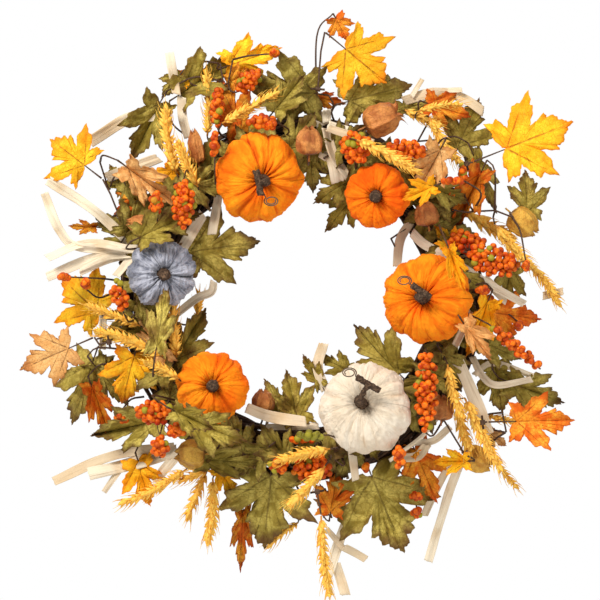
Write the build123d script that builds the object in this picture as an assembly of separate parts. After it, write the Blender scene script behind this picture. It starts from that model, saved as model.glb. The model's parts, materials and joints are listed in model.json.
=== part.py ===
from build123d import *
import math
import os
import random
from collections import defaultdict

import numpy as np

# Harvest door wreath, in millimetres. X is to the right, +Z is up, and the front faces -Y.
# The origin is the hook seat: the innermost point of the cane ring's top, where a door hook carries it.
# Layout lists give places as (x, z) from the centre of the ring, seen from the front.

# ---- driving dimensions ----
RING_RADIUS = 158.0  # centreline of the cane ring
CANE_RADIUS = 10.5  # one bundle of canes
CANE_SIDESTEP = 18.0  # inner and outer bundles, from the centreline
CANE_DEPTHSTEP = 11.5  # front and back bundles, from the centreline
HOOK_SEAT_RADIUS = RING_RADIUS - CANE_SIDESTEP - CANE_RADIUS
RING_FRONT = CANE_DEPTHSTEP + CANE_RADIUS

WRAP_COUNT = 12
WRAP_WIDTH = 3.0
WRAP_THICKNESS = 1.0
WRAP_HALF_WIDTH = CANE_SIDESTEP + CANE_RADIUS + 0.7
WRAP_HALF_DEPTH = RING_FRONT + 0.6

PUMPKIN_DEPTH_RATIO = 0.74  # half thickness over radius
PUMPKIN_FULLNESS = 0.8  # under 1 makes the shoulders squarer than a ball's
PUMPKIN_GAP = 11.0  # room for foliage between the wraps and a pumpkin's back
LEAF_THICKNESS = 0.8
LEAF_PITCH = 8.0  # degrees that a leaf's tip leans back towards the door
LEAF_ROLL = 9.0  # most degrees that a leaf turns about its midrib
PETIOLE_SHARE = 0.22  # petiole length over blade length
PICK_PETIOLE_SHARE = 0.5  # the same on the posable picks
PETIOLE_WIDTH = 1.0
STRIP_THICKNESS = 0.6
STALK_RADIUS = 0.9
BERRY_RADIUS = 3.7
BERRY_STALK = 6.0  # from the cluster's stem to its outermost berries' middles
BERRY_STAGGER = 4.0  # every second berry stands this much further out
CLUSTER_DOME = 8.0  # how far the middle of a cluster stands out
WIRE_RADIUS = 0.9

GAP = 0.5  # kept between neighbouring pieces
CELL = 2.5  # side of the squares in which free depth is looked for

PEG_RADIUS = 1.1  # the twig that a posable pick's wire is wound round
PEG_LENGTH = 14.0
EYE_RADIUS = 2.6
EYE_LENGTH = 5.0
EYE_CLEARANCE = 0.3

SEED = 11

# ---- layout: (name, x, z, radius, stem) ----
PUMPKINS = [
    ("top_left_pumpkin", -40, 122, 45, "crossed"),
    ("top_right_pumpkin", 77, 104, 33, "stub"),
    ("right_pumpkin", 127, 1, 45, "crossed"),
    ("white_pumpkin", 64, -107, 46, "crossed"),
    ("lower_left_pumpkin", -87, -88, 37, "stub"),
    ("grey_pumpkin", -138, 26, 35, "stub"),
]

# Cross twigs of the larger pumpkins' stems: where each starts and ends, and its tendril loop's centre.
CROSS_TWIGS = {
    "top_left_pumpkin": ((-43, 127), (-38, 102), (-28, 97)),
    "right_pumpkin": ((109, 15), (128, 2), (102, 19)),
    "white_pumpkin": ((55, -75), (78, -89), (48, -71)),
}
TWIG_ROOTS = {
    "top_left_pumpkin": (-34, 116),
    "right_pumpkin": (117, 3),
    "white_pumpkin": (58, -98),
    "top_right_pumpkin": (74, 102),
    "lower_left_pumpkin": (-86, -84),
    "grey_pumpkin": (-133, 25),
}

# Leaves: (base x, z), (tip x, z), width.
GREEN_LEAVES = {
    "green_leaves_top": [
        ((-120, 210), (-63, 248), 46),
        ((-142, 199), (-172, 142), 46),
        ((-122, 228), (-140, 206), 26),
        ((50, 201), (114, 219), 62),
        ((14, 208), (-54, 216), 72),
        ((10, 150), (14, 108), 36),
        ((48, 120), (14, 98), 34),
        ((56, 106), (26, 70), 36),
        ((98, 194), (152, 203), 24),
        ((-26, 190), (4, 226), 34),
    ],
    "green_leaves_right": [
        ((160, 154), (182, 204), 54),
        ((176, 146), (202, 86), 26),
        ((230, 88), (231, 133), 40),
        ((150, 92), (116, 104), 34),
        ((132, 112), (170, 98), 32),
        ((183, -42), (224, -60), 32),
        ((198, -66), (206, -114), 44),
        ((214, -84), (271, -106), 42),
        ((100, -74), (52, -26), 58),
        ((214, 34), (206, -10), 34),
        ((168, -16), (190, -44), 30),
    ],
    "green_leaves_bottom": [
        ((-14, -120), (-36, -80), 30),
        ((-2, -122), (-14, -72), 40),
        ((52, -74), (18, -56), 26),
        ((22, -86), (4, -56), 20),
        ((-110, -118), (-53, -142), 42),
        ((-98, -160), (-34, -164), 30),
        ((-108, -136), (-86, -110), 30),
        ((-29, -176), (-37, -251), 92),
        ((72, -178), (104, -253), 98),
        ((34, -196), (50, -222), 26),
    ],
    "green_leaves_left": [
        ((-112, 48), (-40, 61), 72),
        ((-162, 54), (-208, 88), 42),
        ((-178, 112), (-194, 138), 26),
        ((-176, 64), (-150, 108), 42),
        ((-176, 116), (-158, 72), 30),
        ((-158, 62), (-116, 82), 38),
        ((-196, -37), (-162, -27), 22),
        ((-126, -60), (-96, -10), 44),
        ((-210, -62), (-232, -128), 52),
        ((-208, -66), (-174, -108), 32),
        ((-143, -122), (-210, -137), 44),
    ],
}

WARM_LEAVES = {
    "yellow_leaves": [
        ((-204, -12), (-246, 22), 68),
        ((-166, -56), (-180, -106), 54),
        ((-164, -164), (-152, -208), 42),
        ((-82, -170), (-64, -200), 30),
        ((-112, 221), (-125, 234), 18),
        ((-72, 238), (-20, 256), 44),
        ((188, -2), (168, -58), 30),
        ((168, -162), (134, -163), 24),
        ((-128, 131), (-147, 110), 28),
        ((156, 48), (136, 74), 24),
        ((132, 112), (101, 99), 26),
    ],
    "rust_leaves": [
        ((-60, 172), (-86, 230), 44),
        ((-71, 221), (-46, 234), 26),
        ((130, 199), (171, 186), 36),
        ((190, -12), (245, -20), 48),
        ((116, -152), (138, -203), 44),
        ((31, -214), (38, -172), 36),
        ((-58, -216), (-61, -278), 22),
        ((-211, -88), (-193, -138), 28),
        ((-208, 74), (-236, 75), 14),
        ((-158, 108), (-187, 84), 32),
        ((182, 128), (154, 70), 34),
        ((36, 286), (48, 264), 28),
        ((16, 206), (48, 200), 18),
    ],
    "tan_leaves": [
        ((-172, 132), (-124, 96), 36),
        ((140, 150), (116, 104), 40),
        ((-134, -58), (-166, -2), 26),
        ((193, -136), (210, -148), 20),
        ((30, -214), (21, -186), 22),
        ((162, -24), (186, -58), 26),
    ],
}

# Leaves that lie over the pumpkins' edges.
OVERLYING_LEAVES = {
    "green_leaves_left": [((-141, -46), (-131, 16), 30)],
    "green_leaves_bottom": [((-121, -108), (-84, -126), 28)],
    "yellow_leaves": [((146, 50), (162, 8), 20)],
}

# Leaves laid flat on the canes all round, pointing in turn outward and inward.
BACKING_COUNT = 44
BACKING_LENGTH = 46.0
BACKING_WIDTH = 40.0
BACKING_SWEEP = 40.0  # degrees that each leans off the spoke, round the ring
BACKING_DEPTH = 60.0  # the furthest forward that one may lie, short of the pumpkins' faces
BACKING_ROOT = 6.0  # how far its base is from the centreline, on the other side
QUARTERS = ["green_leaves_top", "green_leaves_right", "green_leaves_bottom", "green_leaves_left"]

# Posable picks: leaf base, leaf tip, width, then the wire's route from the petiole to its peg.
LEAF_PICKS = {
    "left_yellow_leaf": ((-216, 135), (-250, 161), 62, [(-190, 106), (-182, 86)]),
    "top_yellow_leaf": ((46, 252), (86, 219), 74, [(21, 250), (18, 212)]),
    "right_yellow_leaf": ((206, 151), (271, 177), 80, [(166, 136)]),
    "left_tan_leaf": ((-230, -48), (-278, -69), 52, [(-200, -44), (-190, -42)]),
    "right_rust_leaf": ((216, -121), (272, -120), 52, [(182, -122)]),
}
EAR_PICK = ("hanging_wheat_ear", (21, -214), (31, -298), 13, [(18, -196), (17, -190)])
LEAF_SWING = 35.0  # degrees that a leaf pick bends forward
LEAF_BACKSWING = 6.0
EAR_SWING = 20.0
EAR_BACKSWING = 12.0

# Wheat ears: base, tip, width.
WHEAT_EARS = {
    "wheat_ears_top": [
        ((-94, 166), (-97, 236), 13),
        ((-124, 127), (-134, 194), 16),
        ((-102, 113), (-121, 158), 15),
        ((-78, 177), (-20, 209), 13),
        ((56, 158), (117, 124), 14),
        ((106, 192), (140, 178), 13),
        ((130, 184), (164, 137), 13),
        ((118, 189), (162, 196), 10),
    ],
    "wheat_ears_right": [
        ((168, 90), (212, 66), 18),
        ((196, 76), (229, 38), 16),
        ((224, 44), (262, -6), 13),
        ((147, -64), (163, -118), 14),
        ((158, -104), (172, -150), 15),
        ((165, -98), (202, -170), 15),
        ((194, -156), (221, -191), 10),
        ((189, -118), (232, -129), 10),
    ],
    "wheat_ears_bottom": [
        ((-115, -171), (-185, -206), 13),
        ((-66, -147), (-111, -171), 13),
        ((-95, -175), (-114, -222), 13),
        ((-88, -180), (-95, -245), 15),
        ((-94, -173), (-120, -183), 11),
        ((30, -148), (-23, -161), 14),
        ((25, -165), (-12, -204), 14),
        ((-2, -226), (-32, -251), 11),
    ],
    "wheat_ears_left": [
        ((-160, -26), (-214, -5), 13),
        ((-135, -56), (-208, -31), 15),
        ((-120, -78), (-153, -62), 13),
        ((-124, -58), (-127, -5), 15),
        ((-104, -19), (-102, 5), 11),
    ],
}

# Corn-husk strips: width, then the route of the strip's middle.
HUSK_STRIPS = {
    "husk_strips_top": [
        (9, [(-132, 250), (-125, 208)]),
        (9, [(-120, 206), (-119, 185), (-113, 164)]),
        (12, [(-212, 160), (-175, 183), (-140, 188)]),
        (11, [(-197, 124), (-143, 144)]),
        (10, [(105, 202), (135, 210), (163, 206), (186, 191)]),
        (5, [(113, 206), (124, 224)]),
        (5, [(135, 213), (164, 213)]),
    ],
    "husk_bow": [
        (14, [(24, 176), (10, 197)]),
        (9, [(27, 180), (27, 192)]),
        (11, [(28, 176), (54, 167)]),
        (8, [(28, 172), (73, 157)]),
        (9, [(26, 172), (34, 145), (48, 124)]),
        (13, [(20, 150), (33, 140), (38, 118)]),
    ],
    "husk_strips_right": [
        (9, [(111, 78), (101, 60), (98, 34)]),
        (9, [(112, 68), (125, 56), (150, 42)]),
        (8, [(163, 34), (190, 16), (226, -4)]),
        (8, [(246, 4), (267, 9)]),
        (10, [(186, 22), (209, 0)]),
        (7, [(174, -57), (184, -76), (199, -86), (234, -80)]),
        (6, [(176, -76), (196, -64), (236, -77)]),
        (13, [(158, -60), (172, -90), (190, -136)]),
        (7, [(155, -46), (172, -12)]),
    ],
    "husk_strips_bottom": [
        (11, [(-54, -108), (-30, -117), (6, -122)]),
        (7, [(-34, -128), (19, -127)]),
        (10, [(24, -44), (18, -68), (26, -92)]),
        (9, [(97, -159), (118, -158), (128, -146)]),
        (4, [(90, -162), (120, -140), (140, -118)]),
        (7, [(116, -144), (135, -142), (152, -128)]),
        (8, [(152, -167), (138, -192), (126, -219)]),
        (9, [(163, -164), (151, -196), (130, -265)]),
        (10, [(50, -216), (38, -250), (28, -281)]),
        (8, [(44, -250), (67, -263)]),
        (10, [(36, -266), (46, -299)]),
        (6, [(27, -232), (44, -252)]),
        (8, [(52, -151), (56, -181)]),
    ],
    "husk_strips_left": [
        (10, [(-163, 50), (-207, 90), (-253, 120)]),
        (9, [(-163, 51), (-221, 53), (-241, 70), (-256, 107)]),
        (8, [(-165, 50), (-213, 57), (-253, 42)]),
        (10, [(-163, 48), (-207, 42), (-254, 23)]),
        (8, [(-165, 46), (-192, 41), (-221, 28)]),
        (11, [(-119, 52), (-98, 87)]),
        (9, [(-82, 108), (-89, 66)]),
        (8, [(-125, -14), (-104, 2), (-90, 8), (-87, 19)]),
        (7, [(-200, -14), (-200, -50)]),
        (8, [(-168, 44), (-185, 24)]),
        (10, [(-126, -149), (-190, -158), (-250, -184)]),
        (13, [(-126, -153), (-178, -168), (-214, -176)]),
        (6, [(-180, -168), (-199, -195)]),
        (10, [(-124, -156), (-148, -184)]),
    ],
}

# Berry clusters: centre x, z, width, height, lean in degrees, how many.
BERRY_CLUSTERS = {
    "berries_top_left": [
        (-25, 248, 14, 12, 0, 5),
        (-52, 220, 36, 24, 40, 22),
        (-83, 194, 18, 46, 0, 26),
        (-84, 146, 12, 44, 0, 12),
        (-37, 175, 36, 20, 0, 20),
    ],
    "berries_left": [
        (-142, 96, 17, 28, 0, 14),
        (-115, 95, 28, 54, 0, 38),
        (-236, 23, 18, 11, 0, 7),
        (-214, 16, 13, 15, 0, 7),
        (-176, 7, 28, 40, 0, 18),
    ],
    "berries_top": [
        (55, 152, 36, 38, 0, 32),
        (104, 149, 48, 26, 0, 28),
        (163, 127, 13, 26, 0, 9),
        (150, 117, 30, 10, 0, 8),
    ],
    "berries_right": [
        (166, 57, 46, 30, -10, 30),
        (192, 39, 58, 36, -18, 44),
        (224, 34, 10, 16, 0, 5),
        (212, -46, 72, 17, -41, 30),
        (220, -26, 13, 13, 0, 5),
        (180, 10, 17, 12, 0, 6),
    ],
    "berries_bottom_right": [
        (125, -90, 27, 88, 0, 52),
        (66, -168, 10, 14, 0, 5),
        (98, -155, 16, 30, 0, 10),
        (117, -198, 18, 12, 0, 7),
        (118, -215, 15, 17, 0, 6),
    ],
    "berries_bottom": [
        (2, -139, 34, 12, 0, 8),
        (-22, -166, 26, 20, 0, 12),
        (12, -168, 46, 34, 0, 27),
    ],
    "berries_bottom_left": [
        (-143, -110, 42, 29, 0, 32),
        (-119, -127, 26, 22, 0, 13),
        (-137, -143, 22, 28, 0, 14),
        (-180, -118, 18, 18, 0, 6),
    ],
    "unripe_berries": [
        (12, -133, 36, 14, 0, 11),
    ],
}

# Husk pods: x, z, half width, half length, lean in degrees.
HUSK_PODS = {
    "brown_husk_pods": [
        (9, 158, 14.5, 15, 0),
        (126, 87, 13, 13, 10),
        (141, -107, 13, 13, 0),
        (-37, -101, 12, 12, 0),
        (-105, 155, 9, 18, 10),
        (-157, 75, 11, 18, 80),
    ],
    "open_husk_pod": [(84, 182, 18, 20, -65)],
    "golden_husk_pods": [(226, 77, 15, 17, -130), (-110, -153, 15, 15, 90), (181, -162, 15, 16, -120)],
}

# Bare wire stems: the route of each, in the order that a hand would twist it in.
WIRE_STEMS = [
    [(-203, 140), (-194, 112)],
    [(-68, 244), (-73, 219)],
    [(-81, 240), (-78, 222)],
    [(119, 160), (130, 180)],
    [(119, 160), (101, 152)],
    [(120, 161), (142, 163)],
    [(129, 146), (128, 130), (120, 112)],
    [(174, 89), (196, 90), (214, 83)],
    [(144, -120), (166, -156)],
    [(205, -114), (209, -134)],
    [(176, -48), (196, -58)],
    [(16, -192), (14, -168)],
    [(110, 74), (92, 62), (96, 54)],
]


def at(x, z, depth=0.0):
    """A point of the part, from its place seen from the front and its depth in front of the ring's middle."""
    return Vector(x, -depth, z - HOOK_SEAT_RADIUS)


def along(base, tip):
    """The unit step in x and z from base to tip, and the distance."""
    across, up = tip[0] - base[0], tip[1] - base[1]
    distance = math.hypot(across, up)
    return across / distance, up / distance, distance


# ---- laying pieces on one another ----
class Bed:
    """The depth already filled over each square cell of the front view."""

    def __init__(self):
        self.filled = defaultdict(list)

    def spans(self, shapes):
        """The span of depth that the shapes fill over each cell."""
        found = {}
        for shape in shapes:
            for point in surface_points(shape):
                for dx in (-0.3 * CELL, 0.3 * CELL):
                    for dz in (-0.3 * CELL, 0.3 * CELL):
                        cell = (
                            math.floor((point[0] + dx) / CELL),
                            math.floor((point[2] + dz) / CELL),
                        )
                        low, high = found.get(cell, (point[1], point[1]))
                        found[cell] = (min(low, point[1]), max(high, point[1]))
        return found

    def keep(self, shapes, shift=0.0):
        """Marks the shapes' space, moved forward by shift, as filled."""
        for cell, (low, high) in self.spans(shapes).items():
            self.filled[cell].append((low - shift, high - shift))

    def lay(self, shapes, on_top=False, within=math.inf):
        """Moves the shapes forward, together, to the first free depth, or in front of all that they cover.

        Where that is more than within, there is no room for them and nothing is laid."""
        spans = self.spans(shapes)
        taken = sorted(
            (low - back - GAP, high - front + GAP)
            for cell, (low, high) in spans.items()
            for front, back in self.filled.get(cell, [])
        )
        shift = 0.0
        for start, end in taken:
            if end > shift and (on_top or start < shift):
                shift = end
        if shift > within:
            return [], shift
        for cell, (low, high) in spans.items():
            self.filled[cell].append((low - shift, high - shift))
        return [shape.moved(Location((0, -shift, 0))) for shape in shapes], shift


def surface_points(shape):
    """Points all over a shape's surface, closer together than the cells of the bed."""
    vertices, triangles = shape.tessellate(0.3, 0.4)
    places = np.array([tuple(vertex) for vertex in vertices])
    points = []
    for a, b, c in triangles:
        corner, side, other = places[a], places[b] - places[a], places[c] - places[a]
        longest = max(np.linalg.norm(side), np.linalg.norm(other), np.linalg.norm(side - other))
        steps = max(1, math.ceil(longest / (0.6 * CELL)))
        for i in range(steps + 1):
            for j in range(steps + 1 - i):
                points.append(corner + side * (i / steps) + other * (j / steps))
    return points


# ---- pieces ----
def lathe(profile, base, direction):
    """A solid of revolution from (radius, height) points, standing at base along direction."""
    points = [(0, profile[0][1])] + list(profile) + [(0, profile[-1][1])]
    face = make_face(Polyline(*[(radius, 0, height) for radius, height in points], close=True))
    turned = revolve(face, Axis.Z)
    return turned.solid().moved(Plane(origin=base, z_dir=direction).location)


def rod(start, end, radius):
    """A straight round rod."""
    run = end - start
    return Solid.make_cylinder(radius, run.length, Plane(origin=start, z_dir=run))


def wire_run(points, radius):
    """A bent wire: straight rods with round corners."""
    made = Part() + rod(points[0], points[1], radius)
    for start, end in zip(points[1:], points[2:]):
        made += [rod(start, end, radius), Solid.make_sphere(radius, Plane(origin=start))]
    return made.solid()


def cane_hoop(radius, depth):
    return Solid.make_torus(radius, CANE_RADIUS, Plane(origin=at(0, 0, depth), z_dir=(0, 1, 0)))


def wrap_band(clock):
    """One flat wrap round the whole bundle of canes, at a clock angle from the top."""
    outward = Vector(math.sin(clock), 0, math.cos(clock))
    forward = Vector(math.cos(clock), 0, -math.sin(clock))
    middle = at(RING_RADIUS * outward.X, RING_RADIUS * outward.Z)
    plane = Plane(origin=middle - forward * (WRAP_WIDTH / 2), x_dir=outward, z_dir=forward)
    outer = Ellipse(WRAP_HALF_WIDTH + WRAP_THICKNESS, WRAP_HALF_DEPTH + WRAP_THICKNESS)
    inner = Ellipse(WRAP_HALF_WIDTH, WRAP_HALF_DEPTH)
    return extrude(plane * (outer - inner), WRAP_WIDTH).solid()


def pumpkin_depth(radius):
    """How far in front of the ring's middle a pumpkin's centre sits."""
    return WRAP_HALF_DEPTH + WRAP_THICKNESS + PUMPKIN_GAP + PUMPKIN_DEPTH_RATIO * radius


def pumpkin_body(x, z, radius):
    """A squashed ball with a dimple at each end, its axis towards the front."""
    half = PUMPKIN_DEPTH_RATIO * radius
    shoulder = [
        (radius * math.sin(math.radians(turn)) ** PUMPKIN_FULLNESS, half * math.cos(math.radians(turn)))
        for turn in range(15, 166, 15)
    ]
    profile = [(0.08 * radius, 0.74 * half), *shoulder, (0.08 * radius, -0.74 * half)]
    return lathe(profile[::-1], at(x, z, pumpkin_depth(radius)), Vector(0, -1, 0))


def pumpkin_stem(name, radius, kind):
    """A stub that stands in the front dimple, with a cross twig on the larger pumpkins."""
    x, z = TWIG_ROOTS[name]
    face = pumpkin_depth(radius) + PUMPKIN_DEPTH_RATIO * radius
    foot, top = at(x, z, face + 1.2), at(x, z, face + 9)
    if kind == "stub":
        return lathe([(5.5, 0), (6, 3), (4.6, 9)], foot, top - foot)
    start, end, _ = CROSS_TWIGS[name]
    stub = lathe([(5.5, 0), (4.2, 4), (3.4, 12)], foot, top - foot)
    twig = rod(at(*start, face + 11), at(*end, face + 9), 3.4)
    reach = rod(at(x, z, face + 8), at((start[0] + end[0]) / 2, (start[1] + end[1]) / 2, face + 10), 2.8)
    return stub.fuse(twig, reach).solid()


def tendril_loop(name, radius):
    """The curled wire at the end of a cross twig."""
    x, z = CROSS_TWIGS[name][2]
    face = pumpkin_depth(radius) + PUMPKIN_DEPTH_RATIO * radius
    return Solid.make_torus(5.6, 0.6, Plane(origin=at(x, z, face + 5), z_dir=(0, 1, 0)))


# One half of a maple blade: share of the width, share of the length, from the petiole to the tip.
MAPLE_HALF = [
    (0.14, -0.10),
    (0.36, -0.08),
    (0.27, 0.06),
    (0.26, 0.16),
    (0.38, 0.24),
    (0.50, 0.50),
    (0.40, 0.50),
    (0.17, 0.44),
    (0.20, 0.62),
    (0.14, 0.82),
]


def leaf_plate(base, tip, width, pitch=LEAF_PITCH, roll=0.0, petiole=PETIOLE_SHARE):
    """A thin maple blade with its petiole, leaning back towards its tip."""
    across, up, distance = along(base, tip)
    lean, turn = math.radians(pitch), math.radians(roll)
    midrib = Vector(across * math.cos(lean), math.sin(lean), up * math.cos(lean))
    flat = Vector(across * math.sin(lean), -math.cos(lean), up * math.sin(lean))
    side = flat.cross(midrib)
    normal = flat * math.cos(turn) + side * math.sin(turn)
    length = distance / math.cos(lean)
    half, tail = PETIOLE_WIDTH / 2, petiole * length
    right = [(share * width, rise * length) for share, rise in MAPLE_HALF]
    left = [(-x, y) for x, y in reversed(right)]
    outline = [(half, -tail), (half, 0.0), *right, (0.0, length), *left, (-half, 0.0), (-half, -tail)]
    plane = Plane(origin=at(*base), x_dir=midrib.cross(normal), z_dir=normal)
    blade = make_face(plane * Polyline(*outline, close=True))
    return extrude(blade, LEAF_THICKNESS, dir=normal).solid()


def wheat_ear(base, tip, width):
    """A tapered ear on a short stalk."""
    distance = along(base, tip)[2]
    half = width / 2
    profile = [
        (STALK_RADIUS, 0),
        (STALK_RADIUS, 0.14 * distance),
        (0.8 * half, 0.22 * distance),
        (half, 0.45 * distance),
        (0.8 * half, 0.8 * distance),
        (0.35 * half, distance),
    ]
    return lathe(profile, at(*base), at(*tip) - at(*base))


def husk_strip(width, route):
    """A flat ribbon along a bent route, with square ends."""
    headings = [along(a, b)[:2] for a, b in zip(route, route[1:])]
    left, right = [], []
    for i, (x, z) in enumerate(route):
        before, after = headings[max(i - 1, 0)], headings[min(i, len(headings) - 1)]
        mean = (before[0] + after[0], before[1] + after[1])
        size = math.hypot(*mean)
        ahead = (mean[0] / size, mean[1] / size)
        reach = width / 2 / (ahead[0] * after[0] + ahead[1] * after[1])
        left.append((x - ahead[1] * reach, z + ahead[0] * reach))
        right.append((x + ahead[1] * reach, z - ahead[0] * reach))
    outline = [at(x, z) for x, z in left + right[::-1]]
    return extrude(make_face(Polyline(*outline, close=True)), STRIP_THICKNESS, dir=(0, -1, 0)).solid()


def behind_pumpkin(x, z, margin):
    """Whether a place in the front view is behind a pumpkin, or nearer than margin to its outline."""
    return any(math.hypot(x - px, z - pz) < radius + margin for _, px, pz, radius, _ in PUMPKINS)


def berry_cluster(x, z, width, height, lean, count):
    """Round berries spread over an oval, the middle ones standing highest, and the stem behind them."""
    turn = math.radians(lean)
    berries = []
    for k in range(count):
        share = math.sqrt((k + 0.5) / count)
        angle = k * math.radians(137.5)
        across = share * (width / 2 - BERRY_RADIUS) * math.cos(angle)
        up = share * (height / 2 - BERRY_RADIUS) * math.sin(angle)
        rise = CLUSTER_DOME * (1 - share**2) + (BERRY_STAGGER if k % 2 else 0.0)
        berry_x = x + across * math.cos(turn) - up * math.sin(turn)
        berry_z = z + across * math.sin(turn) + up * math.cos(turn)
        radius = BERRY_RADIUS * random.uniform(0.86, 1.08)
        if not behind_pumpkin(berry_x, berry_z, radius):
            place = at(berry_x, berry_z, rise + BERRY_STALK)
            berries.append(Solid.make_sphere(radius, Plane(origin=place)))
    upright = height >= width
    reach = 0.5 * max(width, height) - 2
    tilt = turn + (math.pi / 2 if upright else 0.0)
    ahead = (reach * math.cos(tilt), reach * math.sin(tilt))
    stem = rod(at(x - ahead[0], z - ahead[1]), at(x + ahead[0], z + ahead[1]), WIRE_RADIUS)
    return berries, stem


def husk_pod(x, z, half_width, half_length, lean):
    """A papery pod, round at its stalk and drawn to a point."""
    turn = math.radians(lean)
    heading = Vector(-math.sin(turn), 0, math.cos(turn))
    profile = [
        (0.30 * half_width, 0),
        (0.80 * half_width, 0.30 * half_length),
        (half_width, 0.85 * half_length),
        (0.72 * half_width, 1.45 * half_length),
        (0.12 * half_width, 2.0 * half_length),
    ]
    foot = at(x, z, half_width) - heading * half_length
    return lathe(profile, foot, heading)


def backing_leaf(turn):
    """The turn-th leaf that lies on the canes: where its base and tip are, and the node it is kept in."""
    clock = 2 * math.pi * (turn + 0.5) / BACKING_COUNT
    outward = 1 if turn % 2 else -1
    sweep = clock + outward * math.radians(BACKING_SWEEP)
    root = RING_RADIUS - outward * BACKING_ROOT
    base = (root * math.sin(clock), root * math.cos(clock))
    reach = outward * BACKING_LENGTH
    tip = (base[0] + reach * math.sin(sweep), base[1] + reach * math.cos(sweep))
    return base, tip, QUARTERS[round(2 * clock / math.pi) % 4]


# ---- posable picks ----
def peg_axis(route):
    """A pick bends about the line across its wire at the peg."""
    across, up, _ = along(route[-1], route[-2])
    return Vector(up, 0, -across)


def eye(centre, axis):
    """The turns of wire round the peg, as one sleeve."""
    start = centre - axis * (EYE_LENGTH / 2)
    plane = Plane(origin=start, z_dir=axis)
    sleeve = Solid.make_cylinder(EYE_RADIUS, EYE_LENGTH, plane)
    return sleeve.cut(Solid.make_cylinder(PEG_RADIUS + EYE_CLEARANCE, EYE_LENGTH, plane)).solid()


def pick_wire(route, depth):
    """The wire stem with the eye at its root, and the peg that the eye turns on."""
    axis = peg_axis(route)
    centre = at(*route[-1], depth)
    points = [at(x, z, depth) for x, z in route]
    reach = (points[-2] - centre).normalized()
    points[-1] = centre + reach * (EYE_RADIUS - 0.4)
    stem = eye(centre, axis).fuse(wire_run(points, WIRE_RADIUS)).solid()
    peg = Solid.make_cylinder(PEG_RADIUS, PEG_LENGTH, Plane(origin=centre - axis * (PEG_LENGTH / 2), z_dir=axis))
    return stem, peg, centre, axis


def swung_back(shapes, centre, axis, degrees):
    """The shapes as they stand at the far end of their swing towards the ring."""
    return [shape.rotate(Axis(centre, axis), -degrees) for shape in shapes]


def petiole_end(base, tip):
    """Where a posable leaf's petiole meets its wire."""
    across, up, distance = along(base, tip)
    tail = PICK_PETIOLE_SHARE * distance + GAP + WIRE_RADIUS
    return (base[0] - across * tail, base[1] - up * tail)


# ---- the wreath ----
def build():
    """Lays every piece from the ring outward. Returns the nodes' solids and the picks' pivots."""
    random.seed(SEED)
    bed = Bed()
    nodes = defaultdict(list)
    pivots = {}

    def fix(node, *shapes):
        nodes[node] += shapes
        bed.keep(shapes)

    def lay(node, *shapes, **limits):
        nodes[node] += bed.lay(shapes, **limits)[0]

    def leaf(base, tip, width):
        return leaf_plate(base, tip, width, roll=random.uniform(-LEAF_ROLL, LEAF_ROLL))

    fix("inner_cane_hoop", cane_hoop(RING_RADIUS - CANE_SIDESTEP, 0))
    fix("outer_cane_hoop", cane_hoop(RING_RADIUS + CANE_SIDESTEP, 0))
    fix("front_cane_hoop", cane_hoop(RING_RADIUS, CANE_DEPTHSTEP))
    fix("back_cane_hoop", cane_hoop(RING_RADIUS, -CANE_DEPTHSTEP))
    for turn in range(WRAP_COUNT):
        fix("binding_wraps", wrap_band(math.radians(360 * (turn + 0.5) / WRAP_COUNT)))

    for name, x, z, radius, kind in PUMPKINS:
        fix(name, pumpkin_body(x, z, radius))
        fix(name + "_stem", pumpkin_stem(name, radius, kind))
        if kind == "crossed":
            fix("tendril_wires", tendril_loop(name, radius))

    for turn in range(BACKING_COUNT):
        base, tip, node = backing_leaf(turn)
        lay(node, leaf(base, tip, BACKING_WIDTH), within=BACKING_DEPTH)
    for node, leaves in GREEN_LEAVES.items():
        for blade in leaves:
            lay(node, leaf(*blade))
    for node, pods in HUSK_PODS.items():
        for x, z, half_width, half_length, lean in pods:
            lay(node, husk_pod(x, z, half_width, half_length, lean))
    for node, strips in HUSK_STRIPS.items():
        for width, route in strips:
            lay(node, husk_strip(width, route))
    for node, leaves in WARM_LEAVES.items():
        for blade in leaves:
            lay(node, leaf(*blade))
    for node, clusters in BERRY_CLUSTERS.items():
        for cluster in clusters:
            berries, stem = berry_cluster(*cluster)
            laid = bed.lay([*berries, stem], on_top=True)[0]
            nodes[node] += laid[:-1]
            nodes["berry_stems"].append(laid[-1])
    for node, ears in WHEAT_EARS.items():
        for base, tip, width in ears:
            lay(node, wheat_ear(base, tip, width))
    for route in WIRE_STEMS:
        lay("wire_stems", wire_run([at(x, z) for x, z in route], WIRE_RADIUS))

    for node, leaves in OVERLYING_LEAVES.items():
        for blade in leaves:
            lay(node, leaf(*blade), on_top=True)
    for name, (base, tip, width, route) in LEAF_PICKS.items():
        blade = leaf_plate(base, tip, width, pitch=0.0, petiole=PICK_PETIOLE_SHARE)
        stem, peg, centre, axis = pick_wire([petiole_end(base, tip), *route], LEAF_THICKNESS / 2)
        swung = swung_back([blade, stem], centre, axis, LEAF_BACKSWING)
        (blade, stem, peg, *_), shift = bed.lay([blade, stem, peg, *swung], on_top=True)
        nodes[name].append(blade)
        nodes[name + "_wire"].append(stem)
        nodes["pick_pegs"].append(peg)
        pivots[name] = (centre - Vector(0, shift, 0), axis)
    name, base, tip, width, route = EAR_PICK
    ear = wheat_ear(base, tip, width)
    stem, peg, centre, axis = pick_wire([(base[0] - 0.2, base[1] + GAP + WIRE_RADIUS), *route], 0.0)
    swung = swung_back([ear, stem], centre, axis, EAR_BACKSWING)
    (ear, stem, peg, *_), shift = bed.lay([ear, stem, peg, *swung], on_top=True)
    nodes[name].append(ear)
    nodes[name + "_wire"].append(stem)
    nodes["pick_pegs"].append(peg)
    pivots[name] = (centre - Vector(0, shift, 0), axis)
    return nodes, pivots


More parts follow.
